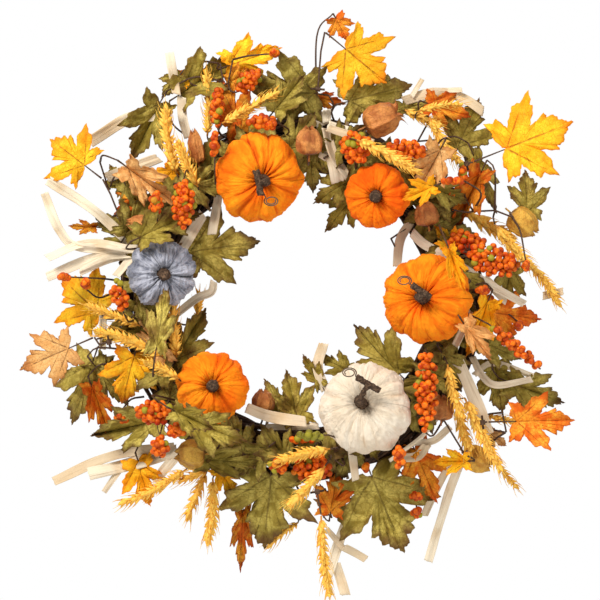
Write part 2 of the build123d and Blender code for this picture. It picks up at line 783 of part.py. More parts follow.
NODES, PIVOTS = build()
os.makedirs("parts", exist_ok=True)
for node, solids in NODES.items():
    shape = solids[0] if len(solids) == 1 else Compound(children=solids)
    export_step(shape, f"parts/{node}.step")
print(len(NODES), "nodes,", sum(len(solids) for solids in NODES.values()), "solids")
for name, (centre, axis) in PIVOTS.items():
    print(name, "turns about", tuple(round(v, 2) for v in centre), "along", tuple(round(v, 3) for v in axis))
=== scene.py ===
import json
import math

import bmesh
import bpy
import numpy as np
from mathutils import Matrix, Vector


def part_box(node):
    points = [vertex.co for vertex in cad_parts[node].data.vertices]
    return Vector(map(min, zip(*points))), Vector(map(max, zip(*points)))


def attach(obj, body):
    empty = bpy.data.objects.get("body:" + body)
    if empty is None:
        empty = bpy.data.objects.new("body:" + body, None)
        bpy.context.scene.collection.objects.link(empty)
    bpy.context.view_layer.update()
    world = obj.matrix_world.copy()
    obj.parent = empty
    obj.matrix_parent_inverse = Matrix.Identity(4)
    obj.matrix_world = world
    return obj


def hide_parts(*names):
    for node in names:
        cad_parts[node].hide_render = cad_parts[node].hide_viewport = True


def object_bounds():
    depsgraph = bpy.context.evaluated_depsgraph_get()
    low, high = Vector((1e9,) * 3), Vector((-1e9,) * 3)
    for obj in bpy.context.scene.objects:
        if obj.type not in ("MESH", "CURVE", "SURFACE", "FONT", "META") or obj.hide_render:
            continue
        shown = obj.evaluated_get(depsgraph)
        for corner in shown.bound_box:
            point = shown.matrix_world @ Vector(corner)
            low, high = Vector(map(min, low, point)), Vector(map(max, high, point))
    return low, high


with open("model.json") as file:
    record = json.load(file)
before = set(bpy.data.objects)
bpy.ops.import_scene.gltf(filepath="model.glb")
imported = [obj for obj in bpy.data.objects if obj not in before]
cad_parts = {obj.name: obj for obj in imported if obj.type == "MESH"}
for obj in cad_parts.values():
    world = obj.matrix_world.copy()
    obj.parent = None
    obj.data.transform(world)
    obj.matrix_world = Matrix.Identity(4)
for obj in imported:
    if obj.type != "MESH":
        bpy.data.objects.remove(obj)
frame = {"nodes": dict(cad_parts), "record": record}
CAD_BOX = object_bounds()
BODY_OF = {node: body for body, nodes in frame["record"]["behaviour"]["bodies"].items() for node in nodes}
PICKS = [node for node in frame["nodes"] if BODY_OF[node] != "root" and not node.endswith("_wire")]

# Metres throughout. X is to the right, Z is up, and the wreath faces -Y.
MM = 0.001
TAU = 2 * math.pi
SEED = 5
PHASE_RANGE = 6.3  # random phases are drawn from about one turn
FRONT = np.array((0.0, -1.0, 0.0))
UP = np.array((0.0, 0.0, 1.0))
RIGHT = np.array((1.0, 0.0, 0.0))

# ---- camera and light ----
VIEW_WIDTH = 0.6  # width of the door that the picture takes in, at the trimmings' depth
VIEW_DEPTH = 0.045  # the trimmings' mean distance in front of the ring's middle
CAMERA_DISTANCE = 3.0
SENSOR = 36.0
FLOOR_DROP = 1.9  # from the ring's middle down to the floor
FLOOR_HALF = 14.5  # half of the floor's side
FLOOR_PALE, FLOOR_DEEP = (250, 250, 250), (242, 242, 242)
FLOOR_GLOW = 0.22  # keeps the floor pale where the lamps don't reach
KEY_POWER = 78.0
FILL_POWER = 15.0
BACK_POWER = 14.0
WHITE = (1.0, 1.0, 1.0, 1.0)
SKY_LIGHT = 0.54  # how strongly the white surroundings light the wreath

# ---- sizes of the detail that the CAD solids only stand for ----
CANE_STRANDS = 14  # thin canes in each of the ring's four bundles
CANE_THICKNESS = 2.1 * MM
CANE_POINTS = 240
LEAF_CLOTH = 0.35 * MM
HUSK_THICKNESS = 0.4 * MM
LEAF_PROUD = 9 * MM  # how far a curled leaf may stand in front of or behind the CAD box
PETIOLE_RADIUS = 1.1 * MM
WIRE_RADIUS = 0.9 * MM  # of a berry cluster's rod
STALK_RADIUS = 0.5 * MM  # of one berry's stalk
TIE_RADIUS = 1.0 * MM  # of the stems that hold the trimmings to the ring
TIE_LEAST = 4 * MM  # a stalk's foot this near the ring needs no stem
TIE_LEAD = 0.2  # how far a stem goes on straight ahead, in shares of its length
STEM_SPACING = 4 * MM
PUMPKIN_PICK_RADIUS = 2.4 * MM  # of the stem that each pumpkin is pushed onto


def srgb(red, green, blue):
    """A linear colour from 0 to 255 values."""
    shares = (red / 255, green / 255, blue / 255)
    linear = [s / 12.92 if s <= 0.04045 else ((s + 0.055) / 1.055) ** 2.4 for s in shares]
    return (*linear, 1.0)


def unit(vector):
    return vector / max(np.linalg.norm(vector), 1e-12)


def square_to(direction):
    """A unit vector square to a direction."""
    guide = UP if abs(direction @ UP) < 0.9 else RIGHT
    return unit(np.cross(direction, guide))


def bell(off, width):
    """1 where off is 0, falling smoothly away within about a width on either side."""
    return np.exp(-((off / width) ** 2))


def placed(origin, *parts):
    """Points that lie off an origin by amounts along directions, each part being (amounts, direction)."""
    points = origin
    for amounts, way in parts:
        points = points + amounts[..., None] * way
    return points


# ---- reading the CAD solids ----
def middle_of(node):
    """The middle and the half sizes of a node's box."""
    low, high = (np.array(corner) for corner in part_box(node))
    return (low + high) / 2, (high - low) / 2


def vertex_data(mesh, label):
    """One property of a mesh's vertices, in rows of three numbers."""
    values = np.zeros(len(mesh.vertices) * 3)
    mesh.vertices.foreach_get(label, values)
    return values.reshape(-1, 3)


def solids_of(node):
    """A node's separate solids, each as welded points and triangles."""
    mesh = frame["nodes"][node].data
    mesh.calc_loop_triangles()
    triangles = np.zeros(len(mesh.loop_triangles) * 3, int)
    mesh.loop_triangles.foreach_get("vertices", triangles)
    points, welded = np.unique(np.round(vertex_data(mesh, "co"), 6), axis=0, return_inverse=True)
    triangles = welded.reshape(-1)[triangles].reshape(-1, 3)
    labels = np.arange(len(points))
    while True:
        lowest = labels.copy()
        np.minimum.at(lowest, triangles.ravel(), np.repeat(labels[triangles].min(axis=1), 3))
        lowest = lowest[lowest]
        if (lowest == labels).all():
            break
        labels = lowest
    found = []
    for label in np.unique(labels):
        chosen = np.flatnonzero(labels == label)
        renumbered = np.full(len(points), -1)
        renumbered[chosen] = np.arange(len(chosen))
        found.append((points[chosen], renumbered[triangles[labels[triangles[:, 0]] == label]]))
    return found


def face_normals(points, triangles):
    """Unit normals and areas of triangles."""
    a, b, c = (points[triangles[:, i]] for i in range(3))
    cross = np.cross(b - a, c - a)
    size = np.linalg.norm(cross, axis=1)
    return cross / np.maximum(size, 1e-15)[:, None], size / 2


def front_outline(points, triangles):
    """The corners, in order, of the largest flat face that looks to the front, and its normal."""
    normals, areas = face_normals(points, triangles)
    facing = normals @ FRONT > 0.3
    normal = normals[np.argmax(np.where(facing, areas, 0.0))]
    chosen = triangles[normals @ normal > 0.9999]
    edges = {(t[i], t[(i + 1) % 3]) for t in chosen.tolist() for i in range(3)}
    following = dict(edge for edge in edges if (edge[1], edge[0]) not in edges)
    start = min(following)
    loop, corner = [start], following[start]
    while corner != start:
        loop.append(corner)
        corner = following[corner]
    return points[loop], normal


def round_ends(points, triangles):
    """Centres and radii of a turned solid's two flat round ends, the first end being the wider."""
    normals, areas = face_normals(points, triangles)
    flats = []
    for direction in np.unique(np.round(normals, 2), axis=0):
        chosen = normals @ unit(direction) > 0.9998
        if chosen.any():
            rim = points[np.unique(triangles[chosen])]
            centre = (rim.min(axis=0) + rim.max(axis=0)) / 2
            radius = np.linalg.norm(rim - centre, axis=1).max()
            flats.append((areas[chosen].sum() / radius**2, radius, centre, unit(direction)))
    flats.sort(key=lambda flat: -flat[0])
    facing_away = [flat for flat in flats if flat[3] @ flats[0][3] < -0.99]
    return sorted([flats[0][1:3], facing_away[0][1:3]], key=lambda end: -end[0])


# ---- gathering surfaces into meshes ----
def put(name, data):
    """A new object in the scene."""
    thing = bpy.data.objects.new(name, data)
    bpy.context.scene.collection.objects.link(thing)
    return thing


class Pieces:
    """Surfaces gathered into one mesh. Every point keeps its place on its own piece, as UV, a tone
    from 0 to 1 that is the piece's own (on leaves it also carries painted shade), and a reach from 0 to 1
    that the material reads (on pumpkins, berries, wheat and pods it places painted shade)."""

    def __init__(self):
        self.points, self.faces, self.places, self.tones, self.reaches = [], [], [], [], []
        self.count = 0

    def add(self, points, faces, places=None, tone=0.5, reach=0.0):
        points = np.asarray(points, float).reshape(-1, 3)
        size = len(points)
        self.points.append(points)
        self.faces += (np.asarray(faces) + self.count).tolist()
        self.places.append(np.zeros((size, 2)) if places is None else np.asarray(places).reshape(-1, 2))
        self.tones.append(np.full(size, float(tone)))
        self.reaches.append(np.broadcast_to(np.asarray(reach, float).reshape(-1), (size,)))
        self.count += size

    def add_capped(self, points, rows, columns, places=None, tone=0.5, reach=0.0, flipped=False):
        """Adds a grid of points that is closed round its columns, with a flat cap at both ends."""
        order = -1 if flipped else 1
        first = range(self.count, self.count + columns)
        last = range(self.count + (rows - 1) * columns, self.count + rows * columns)
        faces = [face[::order] for face in grid_faces(rows, columns, closed=True)]
        self.add(points, faces, places, tone, reach)
        self.faces += [tuple(first)[::-order], tuple(last)[::order]]

    def mesh(self, name):
        made = bpy.data.meshes.new(name)
        made.from_pydata(np.concatenate(self.points), [], self.faces)
        corners = np.zeros(len(made.loops), int)
        made.loops.foreach_get("vertex_index", corners)
        made.uv_layers.new(name="place").data.foreach_set("uv", np.concatenate(self.places)[corners].ravel())
        for label, values in (("tone", self.tones), ("reach", self.reaches)):
            layer = made.attributes.new(label, "FLOAT", "POINT")
            layer.data.foreach_set("value", np.concatenate(values).astype(np.float32))
        made.polygons.foreach_set("use_smooth", [True] * len(made.polygons))
        return made


def show(name, pieces, material, nodes, thickness=0.0):
    """Puts gathered surfaces in the scene in place of the CAD nodes, on the first node's body."""
    thing = put(name, pieces.mesh(name))
    thing.data.materials.append(material)
    if thickness:
        skin = thing.modifiers.new("thickness", "SOLIDIFY")
        skin.thickness = thickness
        skin.offset = 0.0
    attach(thing, BODY_OF[nodes[0]])
    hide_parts(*nodes)
    return thing


def grid_faces(rows, columns, closed):
    """Quads over a grid of points, joined round across its columns where it is closed."""
    faces = []
    for r in range(rows - 1):
        here, above = r * columns, (r + 1) * columns
        for c in range(columns if closed else columns - 1):
            beside = (c + 1) % columns
            faces.append((here + c, here + beside, above + beside, above + c))
    return faces


def waves(points, size, chance, count=7):
    """Smooth unevenness from about -1 to 1, over a given size, from crossing waves."""
    total = np.zeros(len(points))
    for _ in range(count):
        way = unit(chance.normal(size=points.shape[1]))
        wavelength = size * chance.uniform(0.7, 1.5)
        total += np.sin(points @ way * (TAU / wavelength) + chance.uniform(0, PHASE_RANGE))
    return total / math.sqrt(count)


def add_tube(pieces, path, radii, sides=6, tone=0.5):
    """Adds a round tube along a path, closed at both ends, whose reach grows along it."""
    path = np.asarray(path, float)
    count = len(path)
    radii = np.broadcast_to(np.asarray(radii, float), (count,))
    heading = np.gradient(path, axis=0)
    heading /= np.maximum(np.linalg.norm(heading, axis=1), 1e-12)[:, None]
    across = square_to(heading[0])
    points, places, run = [], [], 0.0
    for i in range(count):
        across = unit(across - heading[i] * (across @ heading[i]))
        other = np.cross(heading[i], across)
        run += np.linalg.norm(path[i] - path[i - 1]) if i else 0.0
        for k in range(sides):
            angle = TAU * k / sides
            points.append(path[i] + radii[i] * (across * math.cos(angle) + other * math.sin(angle)))
            places.append((k / sides, run))
    reach = np.repeat(np.linspace(0, 1, count), sides)
    pieces.add_capped(points, count, sides, places, tone, reach)


def smooth_route(route, spacing):
    """Evenly spaced points on a smooth curve through a route's corners."""
    route = np.asarray(route, float)
    if len(route) == 2:
        count = max(3, int(np.linalg.norm(route[1] - route[0]) / spacing) + 1)
        return np.linspace(route[0], route[1], count)
    padded = np.concatenate([[2 * route[0] - route[1]], route, [2 * route[-1] - route[-2]]])
    curve = []
    for i in range(1, len(padded) - 2):
        a, b, c, d = padded[i - 1 : i + 3]
        steps = max(2, int(np.linalg.norm(c - b) / spacing))
        for t in np.arange(steps) / steps:
            bend = (2 * a - 5 * b + 4 * c - d) * t**2 + (3 * b - a - 3 * c + d) * t**3
            curve.append(0.5 * (2 * b + (c - a) * t + bend))
    curve.append(route[-1])
    return np.array(curve)


# ---- what holds the trimmings to the ring ----
SUPPORTS = [node for node in frame["nodes"] if node.endswith("_cane_hoop") or node == "wire_stems"]
ANCHORS = np.concatenate([points for node in SUPPORTS for points, _ in solids_of(node)])


def tie_in(ties, foot, ahead, radius=TIE_RADIUS):
    """A stem that leaves a stalk's foot straight ahead and bends to the nearest place that can hold it."""
    anchor = ANCHORS[np.argmin(np.linalg.norm(ANCHORS - foot, axis=1))]
    length = np.linalg.norm(anchor - foot)
    if length > TIE_LEAST:
        middle = foot + TIE_LEAD * length * unit(ahead) + 0.4 * (anchor - foot)
        path = smooth_route([foot, middle, anchor], STEM_SPACING)
        tone = length / (100 * MM) % 1  # differs from stem to stem
        add_tube(ties, path, radius * np.linspace(0.8, 1.2, len(path)), tone=tone)


# ---- materials ----
class Net:
    """A material's nodes, written as arithmetic on their sockets."""

    def __init__(self, name, roughness, sheen=0.0, coat=0.0, specular=0.3):
        self.material = bpy.data.materials.new(name)
        self.material.use_nodes = True
        self.tree = self.material.node_tree
        self.shader = self.tree.nodes["Principled BSDF"]
        self.shader.inputs["Roughness"].default_value = roughness
        self.shader.inputs["Sheen Weight"].default_value = sheen
        self.shader.inputs["Coat Weight"].default_value = coat
        self.shader.inputs["Specular IOR Level"].default_value = specular
        self.position = self.node("ShaderNodeTexCoord", {})["Object"]

    def node(self, kind, fed, **settings):
        """The outputs of a new node whose inputs are fed by name or number."""
        made = self.tree.nodes.new(kind)
        for key, value in settings.items():
            setattr(made, key, value)
        for label, value in fed.items():
            self.feed(made.inputs[label], value)
        return made.outputs

    def feed(self, socket, value):
        if isinstance(value, bpy.types.NodeSocket):
            self.tree.links.new(value, socket)
        else:
            socket.default_value = value

    def math(self, operation, *values):
        return self.node("ShaderNodeMath", dict(enumerate(values)), operation=operation)[0]

    def plus(self, first, second):
        return self.math("ADD", first, second)

    def minus(self, first, second):
        return self.math("SUBTRACT", first, second)

    def times(self, first, second):
        return self.math("MULTIPLY", first, second)

    def between(self, value, low, high, most=1.0):
        """0 below low and most above high, with a smooth step between them."""
        fed = {"Value": value, "From Min": low, "From Max": high, "To Max": most}
        return self.node("ShaderNodeMapRange", fed, interpolation_type="SMOOTHSTEP")["Result"]

    def noise(self, scale, detail=3.0, vector=None, distortion=0.0):
        fed = {"Vector": vector or self.position, "Scale": scale, "Detail": detail, "Distortion": distortion}
        return self.node("ShaderNodeTexNoise", fed)["Fac"]

    def cells(self, scale, vector):
        """Distance to the nearest border between irregular cells."""
        fed = {"Vector": vector, "Scale": scale}
        return self.node("ShaderNodeTexVoronoi", fed, feature="DISTANCE_TO_EDGE")["Distance"]

    def stretched(self, x, y, z, vector=None):
        fed = {"Vector": vector or self.position, "Scale": (x, y, z)}
        return self.node("ShaderNodeMapping", fed)["Vector"]

    def mark(self, label):
        return self.node("ShaderNodeAttribute", {}, attribute_name=label)["Fac"]

    def place(self):
        """The two sockets of a point's place on its own piece, and both together."""
        uv = self.node("ShaderNodeUVMap", {}, uv_map="place")["UV"]
        parts = self.node("ShaderNodeSeparateXYZ", {0: uv})
        return parts["X"], parts["Y"], uv

    def mix(self, share, first, second):
        """A mix of two colours, each a socket or three numbers from 0 to 255."""
        first, second = (srgb(*part) if isinstance(part, tuple) else part for part in (first, second))
        return self.node("ShaderNodeMix", {0: share, 6: first, 7: second}, data_type="RGBA")[2]

    def tint(self, body, colour, value, low, high, most=1.0):
        """Lays a colour over the body where a value goes from low to high, at most in a given share."""
        return self.mix(self.between(value, low, high, most), body, colour)

    def brightened(self, colour, amount):
        return self.node("ShaderNodeHueSaturation", {"Value": amount, "Color": colour})["Color"]

    def bump(self, *layers):
        """Stacks (height, distance in metres) layers into the surface's relief."""
        under = {}
        for height, distance in layers:
            normal = self.node("ShaderNodeBump", {"Distance": distance, "Height": height} | under)["Normal"]
            under = {"Normal": normal}
        self.feed(self.shader.inputs["Normal"], normal)

    def done(self, colour):
        self.feed(self.shader.inputs["Base Color"], colour)
        return self.material


# Texture scales are features per metre, or per leaf or per pod where they read the piece's own place.
# In a tint, the two limits are where the texture, from 0 to 1, starts to show and shows in full.
SIDE_VEIN = (0.714, 0.700)  # a maple blade's veins, as unit steps from its base in shares of its length
BASAL_VEIN = (0.951, -0.309)
RIB_LINE = 0.018
BRANCHES = 8.0  # side branches along a vein


def leaf_material(name, pale, deep, edge, vein, edge_share, vein_share, mottle):
    """Printed silk: veins, mottling and a tinted rim over a fine weave, with painted shade on the leaves that
    lie back among the trimmings.
    """
    net = Net(name, 0.6, specular=0.16)
    u, v, uv = net.place()
    side = net.math("ABSOLUTE", u)
    tone, reach = net.mark("tone"), net.mark("reach")

    def off_vein(step):
        """Distance from a vein through the blade's base, and the distance along it."""
        off = net.minus(net.times(side, step[1]), net.times(v, step[0]))
        run = net.plus(net.times(side, step[0]), net.times(v, step[1]))
        return net.math("ABSOLUTE", off), run

    side_off, side_run = off_vein(SIDE_VEIN)
    basal_off, _ = off_vein(BASAL_VEIN)
    wobble = net.times(net.minus(net.noise(6.0, 3.0, uv), 0.5), 0.06)
    nearest = net.math("MINIMUM", side, net.math("MINIMUM", side_off, basal_off))
    thin = net.times(net.minus(1.25, reach), RIB_LINE)
    ribs = net.minus(1.0, net.between(net.plus(nearest, wobble), 0.001, thin))
    by_midrib = net.math("LESS_THAN", side, side_off)
    chevron_mid = net.minus(v, net.times(side, 0.75))
    chevron_side = net.minus(side_run, net.times(side_off, 0.8))
    chevrons = {0: by_midrib, 2: chevron_side, 3: chevron_mid}
    picked = net.node("ShaderNodeMix", chevrons, data_type="FLOAT")[0]
    step = net.plus(net.times(picked, BRANCHES), net.times(wobble, 45.0))
    branch = net.math("ABSOLUTE", net.minus(net.math("FRACT", step), 0.5))
    faint = net.between(net.noise(12.0, 2.0, uv), 0.35, 0.65, 0.5)
    branches = net.times(net.minus(1.0, net.between(branch, 0.0, 0.10)), faint)
    veins = net.times(net.math("MAXIMUM", ribs, branches), net.between(reach, 1.0, 0.45))
    web = net.between(net.cells(15.0, uv), 0.10, 0.0)

    own = net.math("FRACT", net.times(tone, 17.0))
    broad = net.between(net.noise(66.0, 5.0, None, 0.8), 0.40, 0.62)
    body = net.mix(net.times(broad, mottle), pale, deep)
    body = net.tint(body, deep, net.noise(420.0, 3.0), 0.46, 0.68, 0.5)
    body = net.mix(net.times(own, 0.5), body, deep)
    body = net.mix(net.times(web, 0.45), body, deep)
    body = net.tint(body, edge, net.noise(30.0, 3.0, net.stretched(1.0, 1.6, 1.0)), 0.54, 0.74, edge_share)
    rim = net.plus(reach, net.times(net.minus(net.noise(110.0, 4.0), 0.5), 0.7))
    body = net.tint(body, edge, rim, 0.70, 1.12, edge_share)
    ahead = net.minus(v, 0.2)
    out = net.math("POWER", net.plus(net.math("POWER", u, 2.0), net.math("POWER", ahead, 2.0)), 0.5)
    tips = net.plus(out, net.times(net.noise(60.0, 4.0), 0.3))
    body = net.tint(body, edge, tips, 0.62, 0.98, edge_share)
    body = net.mix(net.times(veins, vein_share), body, vein)
    # brightness from the tone: random from leaf to leaf, and lowered as painted shade on leaves lying back
    # among the trimmings
    body = net.brightened(body, net.plus(0.60, net.times(tone, 0.56)))
    crinkle, weave = net.noise(150.0, 4.0), net.noise(900.0, 3.0)
    net.bump((veins, -0.0004), (web, -0.0002), (crinkle, 0.0013), (weave, 0.0003))
    return net.done(body)


def cloth_material(name, crest, fold, seam, sheen=0.0, roughness=0.85, worn_share=0.6):
    """Crinkled pumpkin cloth over a weave, with painted shade in its seams, its fold hollows and round its
    poles.
    """
    net = Net(name, roughness, sheen=sheen, specular=0.12)
    place = net.place()[2]
    worn = net.noise(150.0, 5.0, net.stretched(1.0, 0.35, 1.0, place), 0.8)
    body = net.tint(crest, fold, net.noise(34.0, 4.0), 0.40, 0.72)
    body = net.tint(body, fold, worn, 0.44, 0.66, worn_share)
    # the seam colour is painted shade, laid where the reach is high: seams, fold hollows and poles
    body = net.tint(body, seam, net.mark("reach"), 0.12, 0.85)
    crinkle = net.noise(230.0, 5.0, net.stretched(1.0, 0.45, 1.0, place), 1.2)
    net.bump((worn, 0.0014), (crinkle, 0.0016), (net.noise(1300.0, 2.0), 0.0004))
    return net.done(body)


def bark_material(name, dark, light, grain=120.0):
    """Rough twig bark with pale worn ridges."""
    net = Net(name, 0.8, specular=0.2)
    fibres = net.noise(grain, 5.0, None, 0.8)
    body = net.tint(dark, light, fibres, 0.42, 0.72)
    body = net.mix(net.times(net.mark("tone"), 0.4), body, light)
    net.bump((fibres, 0.001), (net.noise(700.0, 4.0), 0.0004))
    return net.done(body)


def wire_material(name, colour, worn):
    """Paper-taped florist's wire, with its wrap showing."""
    net = Net(name, 0.5)
    net.bump((net.noise(900.0, 3.0, net.stretched(1.0, 1.0, 3.0)), 0.0003))
    return net.done(net.tint(colour, worn, net.noise(800.0, 3.0), 0.5, 0.75))


def berry_material(name, ripe, deep, green, green_from):
    """Waxy berries: some deeper, those with a tone above green_from green, and painted shade toward the stalk
    end, which faces into the bunch.
    """
    net = Net(name, 0.5, coat=0.05, specular=0.16)
    net.shader.inputs["Coat Roughness"].default_value = 0.25
    tone, reach = net.mark("tone"), net.mark("reach")
    body = net.tint(ripe, deep, net.noise(240.0, 3.0), 0.38, 0.68)
    # painted shade: deeper toward the stalk end, which faces into the bunch
    body = net.tint(body, deep, reach, 0.25, 0.7)
    body = net.tint(body, deep, tone, 0.35, 0.0, 0.6)
    body = net.tint(body, green, tone, green_from, green_from + 0.02)
    body = net.brightened(body, net.plus(0.74, net.times(tone, 0.36)))
    net.bump((net.noise(500.0, 3.0), 0.0003))
    return net.done(body)


def straw_material(name, pale, deep, root):
    """Dried wheat: streaked along the ear, with painted shade at each spikelet's root, where the spikelets
    crowd together.
    """
    net = Net(name, 0.5, specular=0.3)
    streak = net.noise(420.0, 3.0, net.stretched(1.0, 1.0, 0.35))
    body = net.tint(pale, deep, streak, 0.40, 0.72)
    body = net.mix(net.times(net.mark("tone"), 0.4), body, deep)
    # painted shade at each spikelet's root, where the spikelets crowd together
    body = net.tint(body, root, net.mark("reach"), 0.45, 0.0, 0.7)
    net.bump((streak, 0.0004))
    return net.done(body)


def husk_material(name, pale, warm, fibre):
    """Dried corn husk: fibres along each strip, warm stains, and some strips duller than others."""
    net = Net(name, 0.65, specular=0.2)
    u, v, _ = net.place()
    along = {0: net.times(u, 900.0), 1: net.times(v, 30.0), 2: net.times(net.mark("tone"), 50.0)}
    fibres = net.noise(1.0, 4.0, net.node("ShaderNodeCombineXYZ", along)[0])
    body = net.tint(pale, warm, net.noise(28.0, 4.0), 0.44, 0.74)
    body = net.tint(body, warm, net.mark("tone"), 0.45, 1.0, 0.7)
    body = net.tint(body, fibre, fibres, 0.50, 0.80, 0.7)
    net.bump((fibres, 0.0006), (net.noise(900.0, 3.0), 0.0002))
    return net.done(body)


def pod_material(name, pale, deep, vein):
    """Papery husk with a faint net of veins, and painted shade at its foot, along its seams and at its tip.
    """
    net = Net(name, 0.55, specular=0.3)
    uv = net.place()[2]
    web = net.cells(1.0, net.stretched(3.0, 3.0, 1.0, uv))
    fibres = net.noise(9.0, 4.0, net.stretched(2.6, 0.35, 1.0, uv))
    body = net.tint(pale, deep, net.noise(70.0, 5.0, None, 0.6), 0.36, 0.66)
    body = net.tint(body, deep, fibres, 0.46, 0.74, 0.6)
    body = net.tint(body, vein, web, 0.05, 0.0, 0.3)
    # painted shade, in the vein colour, where the reach is high: the foot, the seams and the tip
    body = net.tint(body, vein, net.mark("reach"), 0.3, 1.0)
    body = net.brightened(body, net.plus(0.82, net.times(net.mark("tone"), 0.3)))
    net.bump((net.between(web, 0.08, 0.0), 0.0002), (fibres, 0.0006), (net.noise(300.0, 4.0), 0.0004))
    return net.done(body)


def twine_material(name, pale, deep):
    """Jute twine, its plies running slantwise."""
    net = Net(name, 0.85, sheen=0.2)
    fed = {"Vector": net.position, "Scale": 260.0, "Distortion": 3.0}
    plies = net.node("ShaderNodeTexWave", fed, bands_direction="DIAGONAL")["Fac"]
    net.bump((plies, 0.0008), (net.noise(1200.0, 3.0), 0.0004))
    return net.done(net.mix(plies, deep, pale))


# Each look's colours, in the order that its material function names.
# A cloth's third colour is the painted shade in its seams, fold hollows and round its poles.
ORANGE_CLOTH = cloth_material("orange_cloth", (255, 150, 24), (248, 110, 8), (190, 64, 4))
RED_CLOTH = cloth_material("deep_orange_cloth", (255, 130, 18), (240, 90, 6), (172, 48, 2))
CREAM_CLOTH = cloth_material("cream_cloth", (238, 224, 202), (224, 204, 176), (190, 156, 118))
GREY_VELVET = cloth_material(
    "grey_velvet", (178, 179, 190), (90, 93, 108), (36, 36, 44), sheen=0.5, roughness=0.65, worn_share=0.9
)
CANE_BARK = bark_material("cane_bark", (40, 26, 18), (92, 66, 46))
STEM_BARK = bark_material("stem_bark", (44, 31, 22), (116, 90, 68), grain=420.0)
DARK_WIRE = wire_material("dark_wire", (70, 46, 30), (118, 86, 56))
TENDRIL_WIRE = wire_material("tendril_wire", (92, 76, 58), (138, 118, 92))
# A berry's deep colour serves both the deeper berries and the painted shade toward the stalk.
ORANGE_BERRY = berry_material("orange_berry", (248, 124, 20), (182, 50, 2), (150, 138, 36), 0.9)
GREEN_BERRY = berry_material("green_berry", (160, 150, 50), (112, 102, 26), (146, 138, 40), 0.5)
# The wheat's third colour is the painted shade at the spikelets' roots.
WHEAT = straw_material("golden_wheat", (252, 206, 90), (236, 162, 44), (172, 96, 22))
CORN_HUSK = husk_material("corn_husk", (236, 220, 192), (206, 178, 138), (186, 158, 118))
# A pod's third colour is both its veins and its painted shade.
BROWN_POD = pod_material("brown_pod", (212, 140, 72), (160, 88, 36), (104, 52, 18))
GOLDEN_POD = pod_material("golden_pod", (222, 172, 68), (180, 122, 38), (116, 72, 20))
TWINE = twine_material("binding_jute", (176, 142, 96), (110, 82, 50))


# ---- leaves ----
# Half of a maple blade's edge, from the petiole to the tip, in shares of width and length.
MAPLE_EDGE = [
    (0.0, 0.0), (0.06, -0.06), (0.16, -0.12), (0.25, -0.10), (0.40, -0.16), (0.35, -0.05),
    (0.38, 0.02), (0.31, 0.07), (0.235, 0.125), (0.33, 0.18), (0.41, 0.25), (0.48, 0.30),
    (0.46, 0.40), (0.57, 0.58), (0.42, 0.54), (0.35, 0.57), (0.26, 0.49), (0.150, 0.42),
    (0.185, 0.56), (0.26, 0.69), (0.175, 0.70), (0.185, 0.80), (0.105, 0.84), (0.075, 0.93),
    (0.03, 0.95), (0.0, 1.04),
]
BLADE_HEART = np.array((0.0, 0.2))  # the whole edge can be seen from here
LOBE_TURNS = [-2.6, -0.95, 0.0, 0.95, 2.6]  # lobes' directions from the tip's, in radians
NATURAL_RATIO = 0.95  # a flat leaf's width over its length
MOST_FOLD = 1.55  # a folded leaf is at most this much wider than it looks
FORWARD_FOLDS = 0.75  # the share of folded leaves whose sides come forward
EDGE_STEPS = 3
EDGE_UNEVEN = 0.010  # how far one leaf's corners stray from another's
TOOTH = 0.016  # how far the edge's small teeth stand out, in shares of the length
BLADE_RINGS = 11
LOBE_SPREAD = 0.45  # a lobe's width about its direction, in radians
LOBE_LIFT = (-0.24, 0.18)  # how far a lobe's end lifts, and the next two how far tip and sides droop
TIP_DROOP = (-0.08, 0.24)
SIDE_DROOP = (-0.10, 0.45)
WEB_RISE = 0.036  # how far the blade stands up between its sunken veins
GROOVE_WIDTH = 0.06
PICK_CURL = 0.6  # the posable leaves are flatter, so that they clear their neighbours
GREEN_PAINTED_SHADE = 0.8  # how much painted shade darkens the leaves that lie among the trimmings
WARM_PAINTED_SHADE = 0.3
COVERED_DEPTH = 60 * MM  # leaves nearer the ring than this, and within a width of it, get painted shade
COVERED_WIDTH = 55 * MM


def painted_shade_depth(place):
    """From 0 to 1, how far a place lies back among the trimmings that cover the ring: the amount of painted
    shade that a leaf there gets.
    """
    centre, half = middle_of("front_cane_hoop")
    off_ring = abs(math.hypot(place[0] - centre[0], place[2] - centre[2]) - half[0])
    behind = (COVERED_DEPTH + place[1]) / (0.6 * COVERED_DEPTH)
    return float(np.clip(behind, 0, 1) * np.clip((COVERED_WIDTH - off_ring) / (0.4 * COVERED_WIDTH), 0, 1))


def blade_of(solid):
    """A leaf plate's base, tip and petiole end, its side and front directions, and its width."""
    corners, normal = front_outline(*solid)
    count = len(corners)

    def skew(start):
        """How far from symmetrical the outline is about the line from edge start - 1 to its far corner."""
        turned = np.roll(corners, -start, axis=0)
        middle = (turned[0] + turned[-1]) / 2
        line = unit(turned[count // 2] - middle)
        return np.abs((turned[: count // 2] - turned[: count // 2 : -1]) @ line).sum()

    turned = np.roll(corners, -min(range(count), key=skew), axis=0)
    stem_end, base, tip = (turned[0] + turned[-1]) / 2, (turned[1] + turned[-2]) / 2, turned[count // 2]
    midrib = unit(tip - base)
    width = np.ptp((turned - base) @ np.cross(midrib, normal))
    return base, tip, stem_end, np.cross(midrib, normal), normal, width


